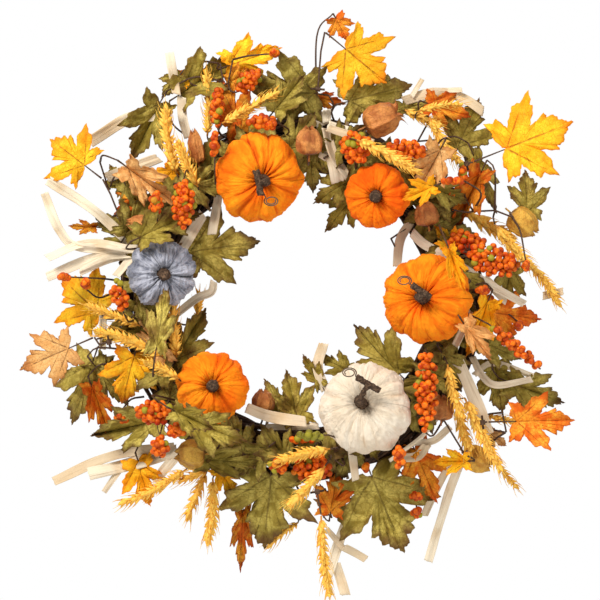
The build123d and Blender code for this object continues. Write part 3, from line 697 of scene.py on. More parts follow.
def maple_edge(chance):
    """A whole blade's edge, finely toothed, with every leaf a little different."""
    half = np.array(MAPLE_EDGE)
    sides = []
    for _ in range(2):
        uneven = half + chance.normal(scale=EDGE_UNEVEN, size=half.shape)
        uneven[0], uneven[-1] = half[0], half[-1]
        sides.append(uneven)
    left = sides[1][-2:0:-1] * (-1, 1)
    corners = np.concatenate([sides[0], left])
    run = np.roll(corners, -1, axis=0) - corners
    outward = np.stack([run[:, 1], -run[:, 0]], axis=-1) / np.linalg.norm(run, axis=1)[:, None]
    steps = []
    for k in range(EDGE_STEPS):
        teeth = TOOTH * (k == 1) * chance.uniform(0.2, 1.4, (len(corners), 1))
        steps.append(corners + outward * teeth + run * k / EDGE_STEPS)
    return np.stack(steps, axis=1).reshape(-1, 2)


def curled(flat, reach, chance):
    """How far each point of a flat blade lifts to the front, in shares of the blade's length."""
    x, y = flat[:, 0], flat[:, 1]
    turn = np.arctan2(x, y - BLADE_HEART[1])
    lift = np.zeros(len(flat))
    for lobe in LOBE_TURNS:
        share = bell((turn - lobe + math.pi) % TAU - math.pi, LOBE_SPREAD)
        lift += chance.uniform(*LOBE_LIFT) * share * reach**2
    lift -= chance.uniform(*TIP_DROOP) * np.clip(y, 0, None) ** 2
    lift -= chance.uniform(*SIDE_DROOP) * x**2
    off_side = np.abs(np.abs(x) * SIDE_VEIN[1] - y * SIDE_VEIN[0])
    off_basal = np.abs(np.abs(x) * BASAL_VEIN[1] - y * BASAL_VEIN[0])
    nearest = np.minimum(np.abs(x), np.minimum(off_side, off_basal))
    lift += WEB_RISE * (1 - bell(nearest, GROOVE_WIDTH))
    lift += 0.015 * waves(flat, 0.13, chance) * reach
    lift += 0.034 * waves(flat, 0.42, chance)
    return lift


def add_leaf(blades, stems, solid, chance, curl, painted_shade):
    """A curled silk maple leaf in a plate's place. A plate that is narrow for its length is a folded leaf."""
    base, tip, stem_end, side, normal, width = blade_of(solid)
    length = np.linalg.norm(tip - base)
    midrib = unit(tip - base)
    spread = min(max(NATURAL_RATIO * length, width), MOST_FOLD * width)
    fold = math.acos(min(1.0, width / spread))
    edge = maple_edge(chance)
    shares = np.linspace(0, 1, BLADE_RINGS + 1)[1:]
    flat = BLADE_HEART + shares[:, None, None] * (edge - BLADE_HEART)
    flat = np.concatenate([flat.reshape(-1, 2), [BLADE_HEART]])
    reach = np.concatenate([np.repeat(shares, len(edge)), [0.0]])
    lift = curled(flat, reach, chance) * (curl * length)

    across = flat[:, 0] * spread
    forward = np.abs(across) * math.sin(fold) * (1.0 if chance.uniform() < FORWARD_FOLDS else -0.5)
    sheet = (across * math.cos(fold), side), (flat[:, 1] * length, midrib), (lift + forward, normal)
    points = placed(base, *sheet)
    points[:, 1] = np.clip(points[:, 1], CAD_BOX[0][1] - LEAF_PROUD, CAD_BOX[1][1] + LEAF_PROUD)
    spokes, heart = len(edge), blades.count + len(flat) - 1
    inmost = blades.count
    # a random tone, lowered as painted shade for leaves that lie back among the trimmings
    tone = chance.uniform(0.45, 1.0) * (1 - painted_shade * painted_shade_depth((base + tip) / 2))
    blades.add(points, grid_faces(BLADE_RINGS, spokes, closed=True), flat, tone, reach)
    blades.faces += [(heart, inmost + (k + 1) % spokes, inmost + k) for k in range(spokes)]

    heel = points[(BLADE_RINGS - 1) * spokes]
    bow = (stem_end + heel) / 2 + normal * chance.uniform(-0.02, 0.05) * length
    path = smooth_route([stem_end, bow, heel + midrib * 0.01 * length], 3 * MM)
    add_tube(stems, path, PETIOLE_RADIUS * np.linspace(1.0, 0.55, len(path)), tone=chance.uniform())


def leaf_group(node, material, slot, ties, chance):
    blades, stems = Pieces(), Pieces()
    pick = node in PICKS
    curl = PICK_CURL if pick else 1.0
    painted_shade = GREEN_PAINTED_SHADE if slot == "green_leaf" else WARM_PAINTED_SHADE
    for solid in solids_of(node):
        if not pick:
            base, _, stem_end = blade_of(solid)[:3]
            tie_in(ties, stem_end, stem_end - base)
        add_leaf(blades, stems, solid, chance, curl, painted_shade)
    show(node + "_cloth", blades, material, [node], LEAF_CLOTH)
    show(node + "_petioles", stems, DARK_WIRE, [node])


# ---- pumpkins ----
PUMPKIN_COLUMNS = 336
PUMPKIN_ROWS = 104
PUMPKIN_FULLNESS = 0.86
DIMPLE_DEPTH = 0.42  # in shares of the pumpkin's half thickness
DIMPLE_WIDTH = 0.27  # in shares of its radius
POLE_HOLE = 0.02  # in radians, about the poles of pumpkins and berries, where a flat cap closes them
LOBE_SWAY = ((1, 0.36), (2, 0.22), (3, 0.14))  # waves that make some lobes wider than others
SEAM_WIDTH = 0.05  # of the line of painted shade along the groove between lobes, in lobes
GROOVE_SHARE = 0.09  # of the groove that it lies in
LUMP_SIZE = 0.022  # of the broad unevenness, in shares of the radius
GATHER_COUNTS = range(11, 90, 3)  # fold waves round the pumpkin; the finer ones fade nearer the stem
GATHER_SIZE = 1.9
PULL_COUNTS = range(19, 150, 5)  # fold waves that show in patches
PULL_SIZE = 0.45
FOLD_MEAN = 0.64  # a fold wave's mean height, which is taken off it
ROOT_RADII = (7.0, 6.6, 5.8, 5.2, 4.9, 4.4)  # in mm, from the dimple up
BARK_GRID = 0.6 * MM
BARK_DEPTH = 0.6 * MM
BARK_ROUNDING = 6  # smoothing passes that round a twig's cut ends
TENDRIL_TURNS = 1.7
TENDRIL_POINTS = 60
TENDRIL_RADIUS = 0.6 * MM


def foot_of(node):
    """The middle of a stem's foot, its end nearest the ring."""
    points = np.concatenate([points for points, _ in solids_of(node)])
    return points[points[:, 1] > points[:, 1].max() - 0.5 * MM].mean(axis=0)


def gathered_folds(turn, fall, girth, chance):
    """Gathers that run out from both poles, and short pulls scattered over the cloth."""
    folds = np.zeros_like(turn)
    for count in GATHER_COUNTS:
        fade = bell(girth, 13.0 / count + 0.08)
        size = chance.uniform(0.2, 1.0) * GATHER_SIZE * girth / count * fade
        bend = chance.uniform(0, TAU) + chance.uniform(-1.4, 1.4) * np.sin(2 * fall)
        folds += size * (np.abs(np.sin(0.5 * count * turn + bend)) - FOLD_MEAN)
    for count in PULL_COUNTS:
        bend = chance.uniform(0, TAU) + chance.uniform(-1.8, 1.8) * np.sin(chance.uniform(1, 3) * fall)
        round_it = np.sin(2 * turn + chance.uniform(0, TAU))
        patchy = np.clip(round_it + np.sin(3 * fall + chance.uniform(0, TAU)), 0, 2)
        size = chance.uniform(0.2, 1.0) * PULL_SIZE / count
        folds += size * patchy * (np.abs(np.sin(0.5 * count * turn + bend)) - FOLD_MEAN)
    return folds


def pumpkin(node, material, slot, lobes, lobe_depth, gathered, crush_depth, chance):
    """A stuffed pumpkin: cloth gathered into the dimple that its stem stands in, over soft uneven lobes."""
    centre, half = middle_of(node)
    pole = unit(foot_of(node + "_stem") - centre)
    across = unit(np.cross(UP, pole))
    other = np.cross(pole, across)
    turns = np.arange(PUMPKIN_COLUMNS) * TAU / PUMPKIN_COLUMNS
    turn, fall = np.meshgrid(turns, np.linspace(POLE_HOLE, math.pi - POLE_HOLE, PUMPKIN_ROWS))
    girth = np.sin(fall) ** PUMPKIN_FULLNESS
    dimple = DIMPLE_DEPTH * bell(girth, DIMPLE_WIDTH) * np.sign(np.cos(fall))
    wide, high = girth * half[0], (np.cos(fall) - dimple) * half[1]
    skin = placed(0.0, (wide * np.cos(turn), across), (wide * np.sin(turn), other), (high, pole))
    around = (np.roll(skin, -1, axis=1) - np.roll(skin, 1, axis=1)) / 2
    normals = np.cross(np.gradient(skin, axis=0), around)
    normals /= np.maximum(np.linalg.norm(normals, axis=-1), 1e-12)[..., None]

    phase = lobes * turn / TAU + 0.06 * np.sin(3 * fall + turn)
    for count, size in LOBE_SWAY:
        phase += size * np.sin(count * turn + chance.uniform(0, TAU))
    strength = chance.uniform(0.1, 1.0, size=lobes)[np.round(phase).astype(int) % lobes]
    off_seam = np.abs(phase - np.round(phase))
    seam = strength * bell(off_seam, SEAM_WIDTH)
    lobe = (0.2 + 0.5 * strength) * (0.5 + 0.5 * np.cos(TAU * phase))
    lobe += 0.6 * strength * bell(off_seam, GROOVE_SHARE)
    folds = gathered * gathered_folds(turn, fall, girth, chance)
    points = skin.reshape(-1, 3)
    lumps = waves(points, 0.7 * half[0], chance).reshape(turn.shape)
    crush = waves(points, 0.13 * half[0], chance, 14).reshape(turn.shape)
    relief = folds - lobe_depth * lobe * (0.3 + 0.7 * girth**2) + LUMP_SIZE * lumps + crush_depth * crush
    made = (skin + normals * (relief * half[0])[..., None]).reshape(-1, 3)
    least, most = made.min(axis=0), made.max(axis=0)
    made = centre + (made - (least + most) / 2) * (half / ((most - least) / 2))

    # painted shade: in the seams' grooves, in the fold hollows, and round both poles, where the stem's dimple
    # is
    fold_hollow_shade = np.clip(-folds / 0.045, 0, 1)
    dark = gathered * (0.75 * seam * girth + 0.6 * fold_hollow_shade) + 0.6 * bell(girth, 0.2)
    places = np.stack([turn, fall], axis=-1) * half[0]
    pieces = Pieces()
    pieces.add_capped(made, PUMPKIN_ROWS, PUMPKIN_COLUMNS, places, 0.5, np.clip(dark, 0, 1), flipped=True)
    body = show(node + "_skin", pieces, material, [node])


def remeshed(name, meshes):
    """One closed skin round several meshes that overlap, its cut edges rounded."""
    rough = bmesh.new()
    for mesh in meshes:
        rough.from_mesh(mesh)
    joined = bpy.data.meshes.new(name)
    rough.to_mesh(joined)
    rough.free()
    thing = put(name, joined)
    grid = thing.modifiers.new("grid", "REMESH")
    grid.mode = "VOXEL"
    grid.voxel_size = BARK_GRID
    thing.modifiers.new("rounding", "SMOOTH").iterations = BARK_ROUNDING
    bpy.context.view_layer.update()
    made = bpy.data.meshes.new_from_object(thing.evaluated_get(bpy.context.evaluated_depsgraph_get()))
    bpy.data.objects.remove(thing)
    bpy.data.meshes.remove(joined)
    return made


def barked(node, chance):
    """A pumpkin's stem with ridged bark, and the flared root that stands in the pumpkin's dimple."""
    centre, half = middle_of(node.removesuffix("_stem"))
    foot = foot_of(node)
    pole = unit(foot - centre)
    bottom = centre + pole * (1 - DIMPLE_DEPTH - 0.08) * half[1]
    roots = Pieces()
    path = np.linspace(bottom, foot + pole * 3 * MM, len(ROOT_RADII))
    add_tube(roots, path, np.array(ROOT_RADII) * MM, 14)
    stub = roots.mesh("stub")
    made = remeshed(node + "_rough", (frame["nodes"][node].data, stub))
    points, normals = vertex_data(made, "co"), vertex_data(made, "normal")
    ridges = waves(points, 5 * MM, chance, 10) * 0.6 + waves(points, 2.2 * MM, chance, 10) * 0.4
    points = points + normals * ((ridges - 0.3) * BARK_DEPTH)[:, None]
    pieces = Pieces()
    pieces.add(points, np.zeros((0, 4), int), tone=0.3)
    pieces.faces = [list(polygon.vertices) for polygon in made.polygons]
    for mesh in (made, stub):
        bpy.data.meshes.remove(mesh)
    show(node + "_bark", pieces, STEM_BARK, [node])


def tendrils(node, chance):
    """Thin wire that leaves the end of each cross twig and curls like a spring."""
    stems = [name for name in frame["nodes"] if name.endswith("_pumpkin_stem")]
    twigs = np.concatenate([points for name in stems for points, _ in solids_of(name)])
    pieces = Pieces()
    for points, _ in solids_of(node):
        low, high = points.min(axis=0), points.max(axis=0)
        centre, radius = (low + high) / 2, (high[0] - low[0]) / 2
        anchor = twigs[np.argmin(np.linalg.norm(twigs - centre, axis=1))]
        start = math.atan2(anchor[2] - centre[2], anchor[0] - centre[0]) + chance.uniform(-0.3, 0.3)
        angles = np.linspace(0, TAU * TENDRIL_TURNS, TENDRIL_POINTS) + start
        sizes = radius * np.linspace(1.0, 0.55, TENDRIL_POINTS)
        depths = np.linspace(3, -4, TENDRIL_POINTS) * MM
        offsets = [1.2 * sizes * np.cos(angles), depths, 0.8 * sizes * np.sin(angles)]
        curl = np.stack(offsets, axis=-1) + centre
        lead = smooth_route([anchor, (anchor + curl[0]) / 2, curl[0]], MM)[:-1]
        add_tube(pieces, np.concatenate([lead, curl]), TENDRIL_RADIUS, 7)
    show("tendril_wire_curls", pieces, TENDRIL_WIRE, [node])


# ---- berries ----
BALL_ROWS = 11
BALL_COLUMNS = 16


def rods_of(node):
    """Start and end of each straight rod in a node."""
    return [[end[1] for end in round_ends(*solid)] for solid in solids_of(node)]


def ball(centre, radius, pole, chance):
    """A slightly uneven ball about a pole direction, with reach 0 at the pole and 1 at the far end."""
    across = square_to(pole)
    other = np.cross(pole, across)
    falls = np.linspace(POLE_HOLE, math.pi - POLE_HOLE, BALL_ROWS)
    turns = np.arange(BALL_COLUMNS) * TAU / BALL_COLUMNS
    fall, turn = np.meshgrid(falls, turns, indexing="ij")
    stretch = chance.uniform(0.98, 1.10)
    swell = 1 - 0.10 * bell(fall, 0.25) - 0.06 * bell(math.pi - fall, 0.3)
    wide = np.sin(fall) * radius * (1 + 0.03 * np.sin(3 * turn + chance.uniform(0, 6)))
    ahead = np.cos(fall) * radius * swell * stretch
    points = placed(centre, (ahead, pole), (wide * np.cos(turn), across), (wide * np.sin(turn), other))
    return points, fall / math.pi


def berries(node, material, rods, stalks, chance):
    """Berries in the CAD berries' places, each on a stalk from the nearest rod."""
    pieces = Pieces()
    for points, _ in solids_of(node):
        low, high = points.min(axis=0), points.max(axis=0)
        centre, radius = (low + high) / 2, (high - low).mean() / 2
        feet = []
        for start, end in rods:
            share = np.clip((centre - start) @ (end - start) / ((end - start) @ (end - start)), 0.05, 0.95)
            feet.append(start + share * (end - start))
        foot = min(feet, key=lambda place: np.linalg.norm(place - centre))
        pole = unit(unit(centre - foot) + chance.normal(scale=0.22, size=3))
        ball_points, reach = ball(centre, radius * 0.97, pole, chance)
        pieces.add_capped(ball_points, BALL_ROWS, BALL_COLUMNS, tone=chance.uniform(), reach=reach)
        tail = centre - pole * radius * 0.9
        middle = (tail + foot) / 2 + chance.normal(scale=0.8 * MM, size=3)
        add_tube(stalks, smooth_route([foot, middle, tail], 2 * MM), STALK_RADIUS, 5, chance.uniform())
    show(node + "_balls", pieces, material, [node])


# ---- wheat ----
GRAIN_ROWS = 7
GRAIN_COLUMNS = 6
SPIKELET_PITCH = 3.9 * MM  # along the ear, from one whorl of four spikelets to the next
LEAST_STEPS = 9
SPLAY = 35  # degrees that a spikelet leans off the ear
SPLAY_SPREAD = 7
EAR_SWAY = 0.07
EAR_STALK_RADIUS = 1.1 * MM
BRISTLE_LEAN = (6, 22)  # in degrees off the ear
BRISTLE_LENGTH = (4, 11)  # in mm
BRISTLE_RADII = (0.34, 0.24, 0.1)  # in mm


def grain(pieces, root, ahead, out, length, width, tone):
    """One spikelet: a pointed husk, fuller on its outer side."""
    side = unit(np.cross(ahead, out))
    out = np.cross(side, ahead)
    points = []
    for share in np.linspace(0.0, 1.0, GRAIN_ROWS):
        girth = width * (math.sin(math.pi * share**0.7) ** 0.8 * 0.5 + 0.02)
        middle = root + ahead * (length * share) - out * (0.09 * length * math.sin(math.pi * share))
        for k in range(GRAIN_COLUMNS):
            angle = TAU * k / GRAIN_COLUMNS
            points.append(middle + side * (girth * math.cos(angle)) + out * (0.75 * girth * math.sin(angle)))
    reach = np.repeat(np.linspace(0, 1, GRAIN_ROWS), GRAIN_COLUMNS)
    pieces.add(points, grid_faces(GRAIN_ROWS, GRAIN_COLUMNS, closed=True), tone=tone, reach=reach)
    return root + ahead * length


def bristle(pieces, end, ahead, axis, out, chance):
    """A stiff hair that goes on from a spikelet's end and straightens along the ear."""
    lean = math.radians(chance.uniform(*BRISTLE_LEAN))
    way = axis * math.cos(lean) + out * math.sin(lean)
    length = chance.uniform(*BRISTLE_LENGTH) * MM
    bend = end + way * length * 0.55
    stop = end + way * length + (axis - way) * length * 0.2
    path = [end - ahead * 2 * MM, bend, stop]
    add_tube(pieces, path, np.array(BRISTLE_RADII) * MM, 4, chance.uniform(0, 0.3))


def wheat(pieces, solid, chance):
    """An ear: fat spikelets in a herringbone on four sides of the stalk, many with a short bristle.
    Returns its foot and the way that its stem leaves it."""
    (_, tip), (_, base) = round_ends(*solid)
    length = np.linalg.norm(tip - base)
    axis = (tip - base) / length
    half = np.linalg.norm(np.cross(solid[0] - base, axis), axis=1).max()
    front = unit(FRONT - axis * (FRONT @ axis))
    across = np.cross(axis, front)
    sway = chance.uniform(-EAR_SWAY, EAR_SWAY) * length

    def spine(share):
        return base + axis * (length * share) + across * (sway * 4 * share * (1 - share))

    add_tube(pieces, [spine(share) for share in np.linspace(0, 0.96, 9)], EAR_STALK_RADIUS, 6, 0.8)
    steps = max(LEAST_STEPS, round(length / SPIKELET_PITCH))
    for k in range(steps):
        share = 0.05 + 0.83 * k / (steps - 1)
        fullness = math.sin(math.pi * (0.22 + 0.66 * (k + 1) / (steps + 1))) ** 0.6
        for quarter in range(4):
            shift = 0.5 * (quarter % 2) / steps
            turn = quarter * math.pi / 2 + chance.normal(scale=0.18)
            out = across * math.cos(turn) + front * math.sin(turn)
            splay = math.radians(SPLAY + chance.normal(scale=SPLAY_SPREAD))
            ahead = axis * math.cos(splay) + out * math.sin(splay)
            root = spine(share + shift) + out * 0.10 * half
            size = 0.88 * half / math.sin(splay) * fullness * chance.uniform(0.85, 1.1)
            end = grain(pieces, root, ahead, out, max(size, 5 * MM), 0.66 * half, chance.uniform())
            if chance.uniform() < 0.35 + 0.5 * k / steps:
                bristle(pieces, end, ahead, axis, out, chance)
    return base, -axis


def wheat_group(node, ties, chance):
    pieces = Pieces()
    for solid in solids_of(node):
        stem = wheat(pieces, solid, chance)
        if node not in PICKS:
            tie_in(ties, *stem)
    show(node + "_spikelets", pieces, WHEAT, [node])


# ---- corn husk ----
HUSK_COLUMNS = 13
HUSK_SPACING = 2 * MM
HUSK_WAVE = 2.2 * MM
HUSK_CUT = 6 * MM  # how far from an end its slant and fraying reach


def strip_route(corners):
    """A strip's middle line and width, from the corners of its outline."""
    count = len(corners)
    half = count // 2

    def misfit(start):
        """How far the two edges taken as the strip's ends are from equal and square."""
        turned = np.roll(corners, -start, axis=0)
        first, last = turned[0] - turned[-1], turned[half - 1] - turned[half]
        slant = abs(unit(first) @ unit(turned[1] - turned[0]))
        slant += abs(unit(last) @ unit(turned[half - 2] - turned[half - 1]))
        ends = np.linalg.norm(first) + np.linalg.norm(last)
        return slant + abs(np.linalg.norm(first) - np.linalg.norm(last)) / ends + ends * 2

    turned = np.roll(corners, -min(range(count), key=misfit), axis=0)
    left, right = turned[:half], turned[half:][::-1]
    return (left + right) / 2, np.linalg.norm(left[0] - right[0])


def husk_strip(pieces, solid, chance):
    """A ribbon of dried husk: creased along its fibres, waving, and cut slantwise at its ends."""
    corners, normal = front_outline(*solid)
    middle, width = strip_route(corners)
    path = smooth_route(middle, HUSK_SPACING)
    heading = np.gradient(path, axis=0)
    heading /= np.linalg.norm(heading, axis=1)[:, None]
    run = np.concatenate([[0.0], np.cumsum(np.linalg.norm(np.diff(path, axis=0), axis=1))])
    share = run / run[-1]
    across = np.cross(heading, normal)
    shares = np.linspace(-0.5, 0.5, HUSK_COLUMNS)
    wave = HUSK_WAVE * np.sin(TAU * run / (46 * MM) + chance.uniform(0, TAU)) * np.sin(math.pi * share) ** 0.5
    curl = chance.uniform(1, 8) * MM * share**3 + chance.uniform(0, 3) * MM * (1 - share) ** 4
    creases = chance.uniform(-0.4, 0.4, size=2)
    slopes = chance.uniform(0.15, 0.65) * np.array((1, -1)) * chance.choice((-1, 1))
    twist = chance.uniform(-0.8, 0.8) * (share - 0.3)
    twist += 0.2 * np.sin(TAU * run / (60 * MM) + chance.uniform(0, TAU))
    ribs = 0.10 * MM * np.cos(shares * TAU * 4.5 + chance.uniform(0, TAU))
    slant = chance.uniform(-0.45, 0.45, size=2)
    frayed = chance.uniform(-0.5, 0.5, size=(2, HUSK_COLUMNS)) * MM
    points, places = [], []
    for i in range(len(path)):
        narrow = 1 - 0.06 * math.sin(run[i] / (11 * MM) + 2.0) - 0.25 * max(0.0, share[i] - 0.85)
        drift = 0.12 * math.sin(run[i] / (17 * MM) + slant[0] * 9)
        from_start, from_end = (max(0.0, 1 - off / HUSK_CUT) for off in (run[i], run[-1] - run[i]))
        for k, s in enumerate(shares):
            cut = slant * s * width + frayed[:, k]
            end = cut[0] * from_start + cut[1] * from_end
            ridge = sum(slope * abs(s - crease - drift) for slope, crease in zip(slopes, creases)) * width
            out = wave[i] + curl[i] - ridge + ribs[k] + math.sin(twist[i]) * s * width
            points.append(path[i] + across[i] * (s * width * narrow) + normal * out + heading[i] * end)
            places.append((s * width, run[i]))
    reach = 1 - np.repeat(share, HUSK_COLUMNS)
    pieces.add(points, grid_faces(len(path), HUSK_COLUMNS, closed=False), places, chance.uniform(), reach)


def husk_group(node, chance):
    pieces = Pieces()
    for solid in solids_of(node):
        husk_strip(pieces, solid, chance)
    show(node + "_ribbons", pieces, CORN_HUSK, [node], HUSK_THICKNESS)


# ---- pods ----
POD_ROWS = 44
POD_COLUMNS = 90
POD_HEIGHTS = [0, 0.03, 0.12, 0.32, 0.58, 0.78, 0.9, 1.0]
POD_GIRTHS = [0.14, 0.58, 0.88, 1.0, 0.95, 0.72, 0.38, 0.06]  # at those shares of the length
POD_STALK = (-0.22, -0.05, 0.1)


def pod(pieces, solid, chance, flare):
    """A papery husk: six seams standing proud of sagging sides, closing to a point between small tips.
    Returns its foot and the way that its stem leaves it."""
    (_, foot), (_, point) = round_ends(*solid)
    length = np.linalg.norm(point - foot)
    axis = (point - foot) / length
    half = np.linalg.norm(np.cross(solid[0] - foot, axis), axis=1).max()
    guide = unit(FRONT - axis * (FRONT @ axis)) if abs(axis @ FRONT) < 0.95 else UP
    across = np.cross(axis, guide)
    turns = np.arange(POD_COLUMNS) * TAU / POD_COLUMNS
    rise, turn = np.meshgrid(np.linspace(0, 1, POD_ROWS), turns, indexing="ij")
    girth = np.interp(rise, POD_HEIGHTS, POD_GIRTHS)
    flat = np.stack([np.cos(turn) * 1.2, np.sin(turn) * 1.2, rise * 2.2], axis=-1).reshape(-1, 3)
    crumple = waves(flat, 1.6, chance).reshape(rise.shape)
    crease = np.abs(waves(flat * (1, 1, 0.4), 0.6, chance, 7)).reshape(rise.shape)
    phase = 3 * turn + 0.5 * rise + 0.15 * crumple + chance.uniform(0, TAU)
    sag = np.abs(np.sin(phase)) ** 0.8
    seam = bell(sag, 0.16)
    pleats = np.cos(4 * phase + 0.6 * crumple)
    radius = half * girth * (1.0 - 0.15 * sag + 0.03 * seam + 0.018 * pleats + 0.02 * crumple - 0.03 * crease)
    mouth = np.clip((rise - 0.82) / 0.18, 0, 1)
    radius = radius + half * flare * mouth**2 * (1 - sag) ** 1.5
    height = rise * length - 0.16 * length * sag * mouth + 0.02 * length * crumple
    points = placed(foot, (height, axis), (radius * np.cos(turn), across), (radius * np.sin(turn), guide))
    tip = np.clip(1.6 * (rise - 0.8), 0, 1)
    # painted shade at the foot round the stalk, along the seams and at the tip
    shade = np.clip(0.8 * bell(rise, 0.07) + 0.7 * seam + tip, 0, 1)
    places = np.stack([turn, rise * 3], axis=-1)
    pieces.add_capped(points, POD_ROWS, POD_COLUMNS, places, chance.uniform(), shade)
    add_tube(pieces, [foot + axis * share * length for share in POD_STALK], 1.0 * MM, 6, 1.0)
    return foot, -axis


def pod_group(node, material, flare, ties, chance):
    pieces = Pieces()
    for solid in solids_of(node):
        tie_in(ties, *pod(pieces, solid, chance, flare))
    show(node + "_papery", pieces, material, [node])


# ---- the cane ring ----
def cane_bundle(node, chance):
    """Thin canes twisted round one another along a hoop's line."""
    centre, half = middle_of(node)
    thick = half[1]
    pieces = Pieces()
    for strand in range(CANE_STRANDS):
        turns = np.linspace(0, TAU, CANE_POINTS) + chance.uniform(0, PHASE_RANGE)
        size = CANE_THICKNESS * chance.uniform(0.65, 1.15)
        twist = chance.integers(3, 7)
        swing = (thick - size) * (0.75 + 0.25 * np.sin(2 * turns + chance.uniform(0, PHASE_RANGE)))
        if strand == 0:
            swing = swing * 0.15  # one cane runs down the middle
        spin = twist * turns + TAU * strand / CANE_STRANDS
        spin += 0.5 * np.sin(3 * turns + chance.uniform(0, PHASE_RANGE))
        out = half[0] - thick + swing * np.cos(spin)
        path = centre + np.stack([out * np.sin(turns), swing * np.sin(spin), out * np.cos(turns)], axis=-1)
        knots = 1 + 0.10 * np.sin(turns * 37 + chance.uniform(0, PHASE_RANGE)) * np.sin(turns * 11)
        add_tube(pieces, path, size * knots, 7, chance.uniform())
    show(node + "_canes", pieces, CANE_BARK, [node])


# ---- the wreath ----
# Pale, deep, edge and vein colours, and the shares in which edge, veins and mottling show.
LEAF_PAINTS = {
    "green": ((212, 190, 94), (140, 119, 40), (96, 58, 30), (92, 72, 28), 0.75, 0.6, 0.9),
    "yellow": ((255, 210, 46), (250, 168, 18), (240, 122, 10), (150, 78, 14), 0.6, 0.75, 0.9),
    "rust": ((250, 184, 56), (214, 96, 14), (182, 72, 12), (112, 44, 10), 0.7, 0.55, 1.0),
    "tan": ((240, 194, 128), (212, 150, 82), (170, 100, 46), (104, 58, 28), 0.7, 0.7, 0.8),
}
LEAF_LOOKS = {colour: leaf_material(colour + "_leaf", *paint) for colour, paint in LEAF_PAINTS.items()}
# Cloth and its slot, number of lobes, their depth, strength of the gathers and depth of the crushed cloth.
PUMPKIN_LOOKS = {
    "top_left_pumpkin": (ORANGE_CLOTH, "orange_cloth", 9, 0.04, 0.85, 0.006),
    "top_right_pumpkin": (RED_CLOTH, "deep_orange_cloth", 9, 0.045, 0.7, 0.006),
    "right_pumpkin": (ORANGE_CLOTH, "orange_cloth", 8, 0.05, 0.8, 0.006),
    "white_pumpkin": (CREAM_CLOTH, "cream_cloth", 8, 0.045, 0.6, 0.006),
    "lower_left_pumpkin": (ORANGE_CLOTH, "orange_cloth", 8, 0.05, 0.75, 0.006),
    "grey_pumpkin": (GREY_VELVET, "grey_velvet", 8, 0.09, 0.9, 0.016),
}


def hang_berries(ties, chance):
    """All the berries, the wire rods that their stalks leave, and what ties the rods in."""
    rods, stalks = rods_of("berry_stems"), Pieces()
    for node in sorted(frame["nodes"]):
        if node.startswith("berries"):
            berries(node, ORANGE_BERRY, rods, stalks, chance)
    berries("unripe_berries", GREEN_BERRY, rods, stalks, chance)
    for start, end in rods:
        bend = (start + end) / 2 + chance.normal(scale=1.0 * MM, size=3)
        path = smooth_route([start, bend, end], STEM_SPACING)
        add_tube(stalks, path, WIRE_RADIUS, tone=chance.uniform())
        near, far = sorted((start, end), key=lambda place: np.linalg.norm(ANCHORS - place, axis=1).min())
        tie_in(ties, near, near - far)
    show("berry_stalks", stalks, DARK_WIRE, ["berry_stems"])


def dress_wreath():
    """Every detailed piece, in the order in which they draw on one source of chance."""
    chance = np.random.default_rng(SEED)
    for side in ("inner", "outer", "front", "back"):
        cane_bundle(side + "_cane_hoop", chance)
    for node, look in PUMPKIN_LOOKS.items():
        pumpkin(node, *look, chance)
    for node in sorted(PUMPKIN_LOOKS):
        barked(node + "_stem", chance)
    tendrils("tendril_wires", chance)

    ties = Pieces()
    for node in frame["nodes"]:
        if node in PUMPKIN_LOOKS:
            centre, half = middle_of(node)
            tie_in(ties, centre - FRONT * 0.8 * half[1], -FRONT, PUMPKIN_PICK_RADIUS)
    for node in sorted(frame["nodes"]):
        if node.endswith(("_leaf", "_leaves")) or node.startswith("green_leaves"):
            colour = next(word for word in LEAF_LOOKS if word in node)
            leaf_group(node, LEAF_LOOKS[colour], colour + "_leaf", ties, chance)
    hang_berries(ties, chance)
    for node in sorted(frame["nodes"]):
        if node.startswith("wheat_ears") or node == "hanging_wheat_ear":
            wheat_group(node, ties, chance)
        if node.startswith("husk_"):
            husk_group(node, chance)
    pod_group("brown_husk_pods", BROWN_POD, 0.25, ties, chance)
    pod_group("open_husk_pod", BROWN_POD, 0.9, ties, chance)
    pod_group("golden_husk_pods", GOLDEN_POD, 0.3, ties, chance)
    show("tied_in_stems", ties, DARK_WIRE, ["berry_stems"])


def carry_over():
    """Gives the CAD nodes that stay in view their own materials."""
    looks = {"binding_wraps": TWINE, "pick_pegs": CANE_BARK}
    for node, thing in frame["nodes"].items():
        if not thing.hide_render:
            thing.data.materials.clear()
            thing.data.materials.append(looks.get(node, DARK_WIRE))


def light(name, place, target, size, power, colour):
    lamp = bpy.data.lights.new(name, "AREA")
    lamp.size = size
    lamp.energy = power
    lamp.color = colour
    thing = put(name, lamp)
    thing.location = place
    thing.rotation_euler = (target - place).to_track_quat("-Z", "Y").to_euler()


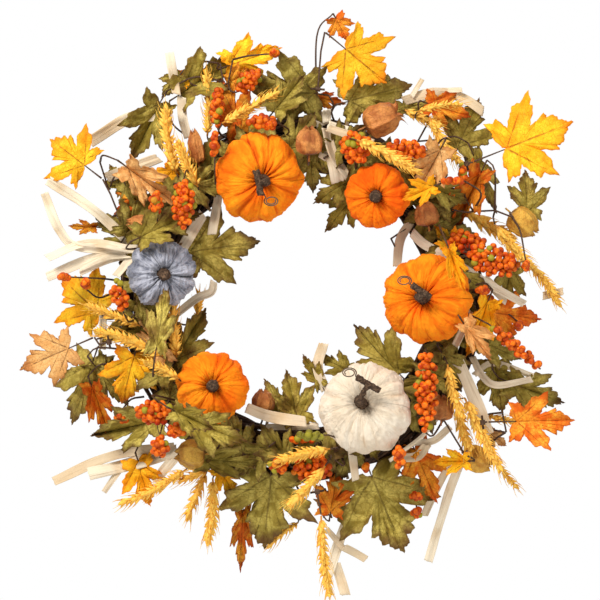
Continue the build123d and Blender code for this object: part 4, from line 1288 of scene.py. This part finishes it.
def studio():
    """Camera square to the wreath, a pale floor well below it and soft light from the upper left."""
    ring = middle_of("front_cane_hoop")[0]
    centre = Vector((ring[0], 0, ring[2]))
    camera = put("camera", bpy.data.cameras.new("camera"))
    camera.data.sensor_width = SENSOR
    camera.data.lens = SENSOR * (CAMERA_DISTANCE - VIEW_DEPTH) / VIEW_WIDTH
    camera.location = centre + Vector((0, -CAMERA_DISTANCE, 0))
    camera.rotation_euler = (math.pi / 2, 0, 0)
    bpy.context.scene.camera = camera

    light("key", centre + Vector((-1.2, -1.8, 1.6)), centre, 1.0, KEY_POWER, (1.0, 0.98, 0.95))
    light("fill", centre + Vector((1.6, -1.6, 0.2)), centre, 1.6, FILL_POWER, (1.0, 1.0, 1.0))
    light("back", centre + Vector((0.3, 1.8, 1.3)), centre, 1.4, BACK_POWER, (1.0, 1.0, 1.0))

    ground = centre.z - FLOOR_DROP
    corners = [(x, y, ground) for x, y in ((-1, -1), (1, -1), (1, 1), (-1, 1))]
    mesh = bpy.data.meshes.new("floor")
    mesh.from_pydata([(x * FLOOR_HALF, y * FLOOR_HALF, z) for x, y, z in corners], [], [(0, 1, 2, 3)])
    floor = put("floor", mesh)
    net = Net("floor_paint", 0.7)
    net.shader.inputs["Emission Color"].default_value = WHITE
    net.shader.inputs["Emission Strength"].default_value = FLOOR_GLOW
    net.bump((net.noise(60.0, 4.0), 0.0004))
    floor.data.materials.append(net.done(net.mix(net.noise(3.0), FLOOR_PALE, FLOOR_DEEP)))

    world = bpy.data.worlds.new("studio")
    bpy.context.scene.world = world
    world.use_nodes = True
    tree = world.node_tree
    seen = tree.nodes["Background"]
    seen.inputs["Color"].default_value = WHITE
    lighting = tree.nodes.new("ShaderNodeBackground")
    lighting.inputs["Strength"].default_value = SKY_LIGHT
    rays, either = tree.nodes.new("ShaderNodeLightPath"), tree.nodes.new("ShaderNodeMixShader")
    tree.links.new(rays.outputs["Is Camera Ray"], either.inputs["Fac"])
    tree.links.new(lighting.outputs[0], either.inputs[1])
    tree.links.new(seen.outputs[0], either.inputs[2])
    tree.links.new(either.outputs[0], tree.nodes["World Output"].inputs["Surface"])
    bpy.context.scene.view_settings.view_transform = "Standard"


studio()
dress_wreath()
carry_over()
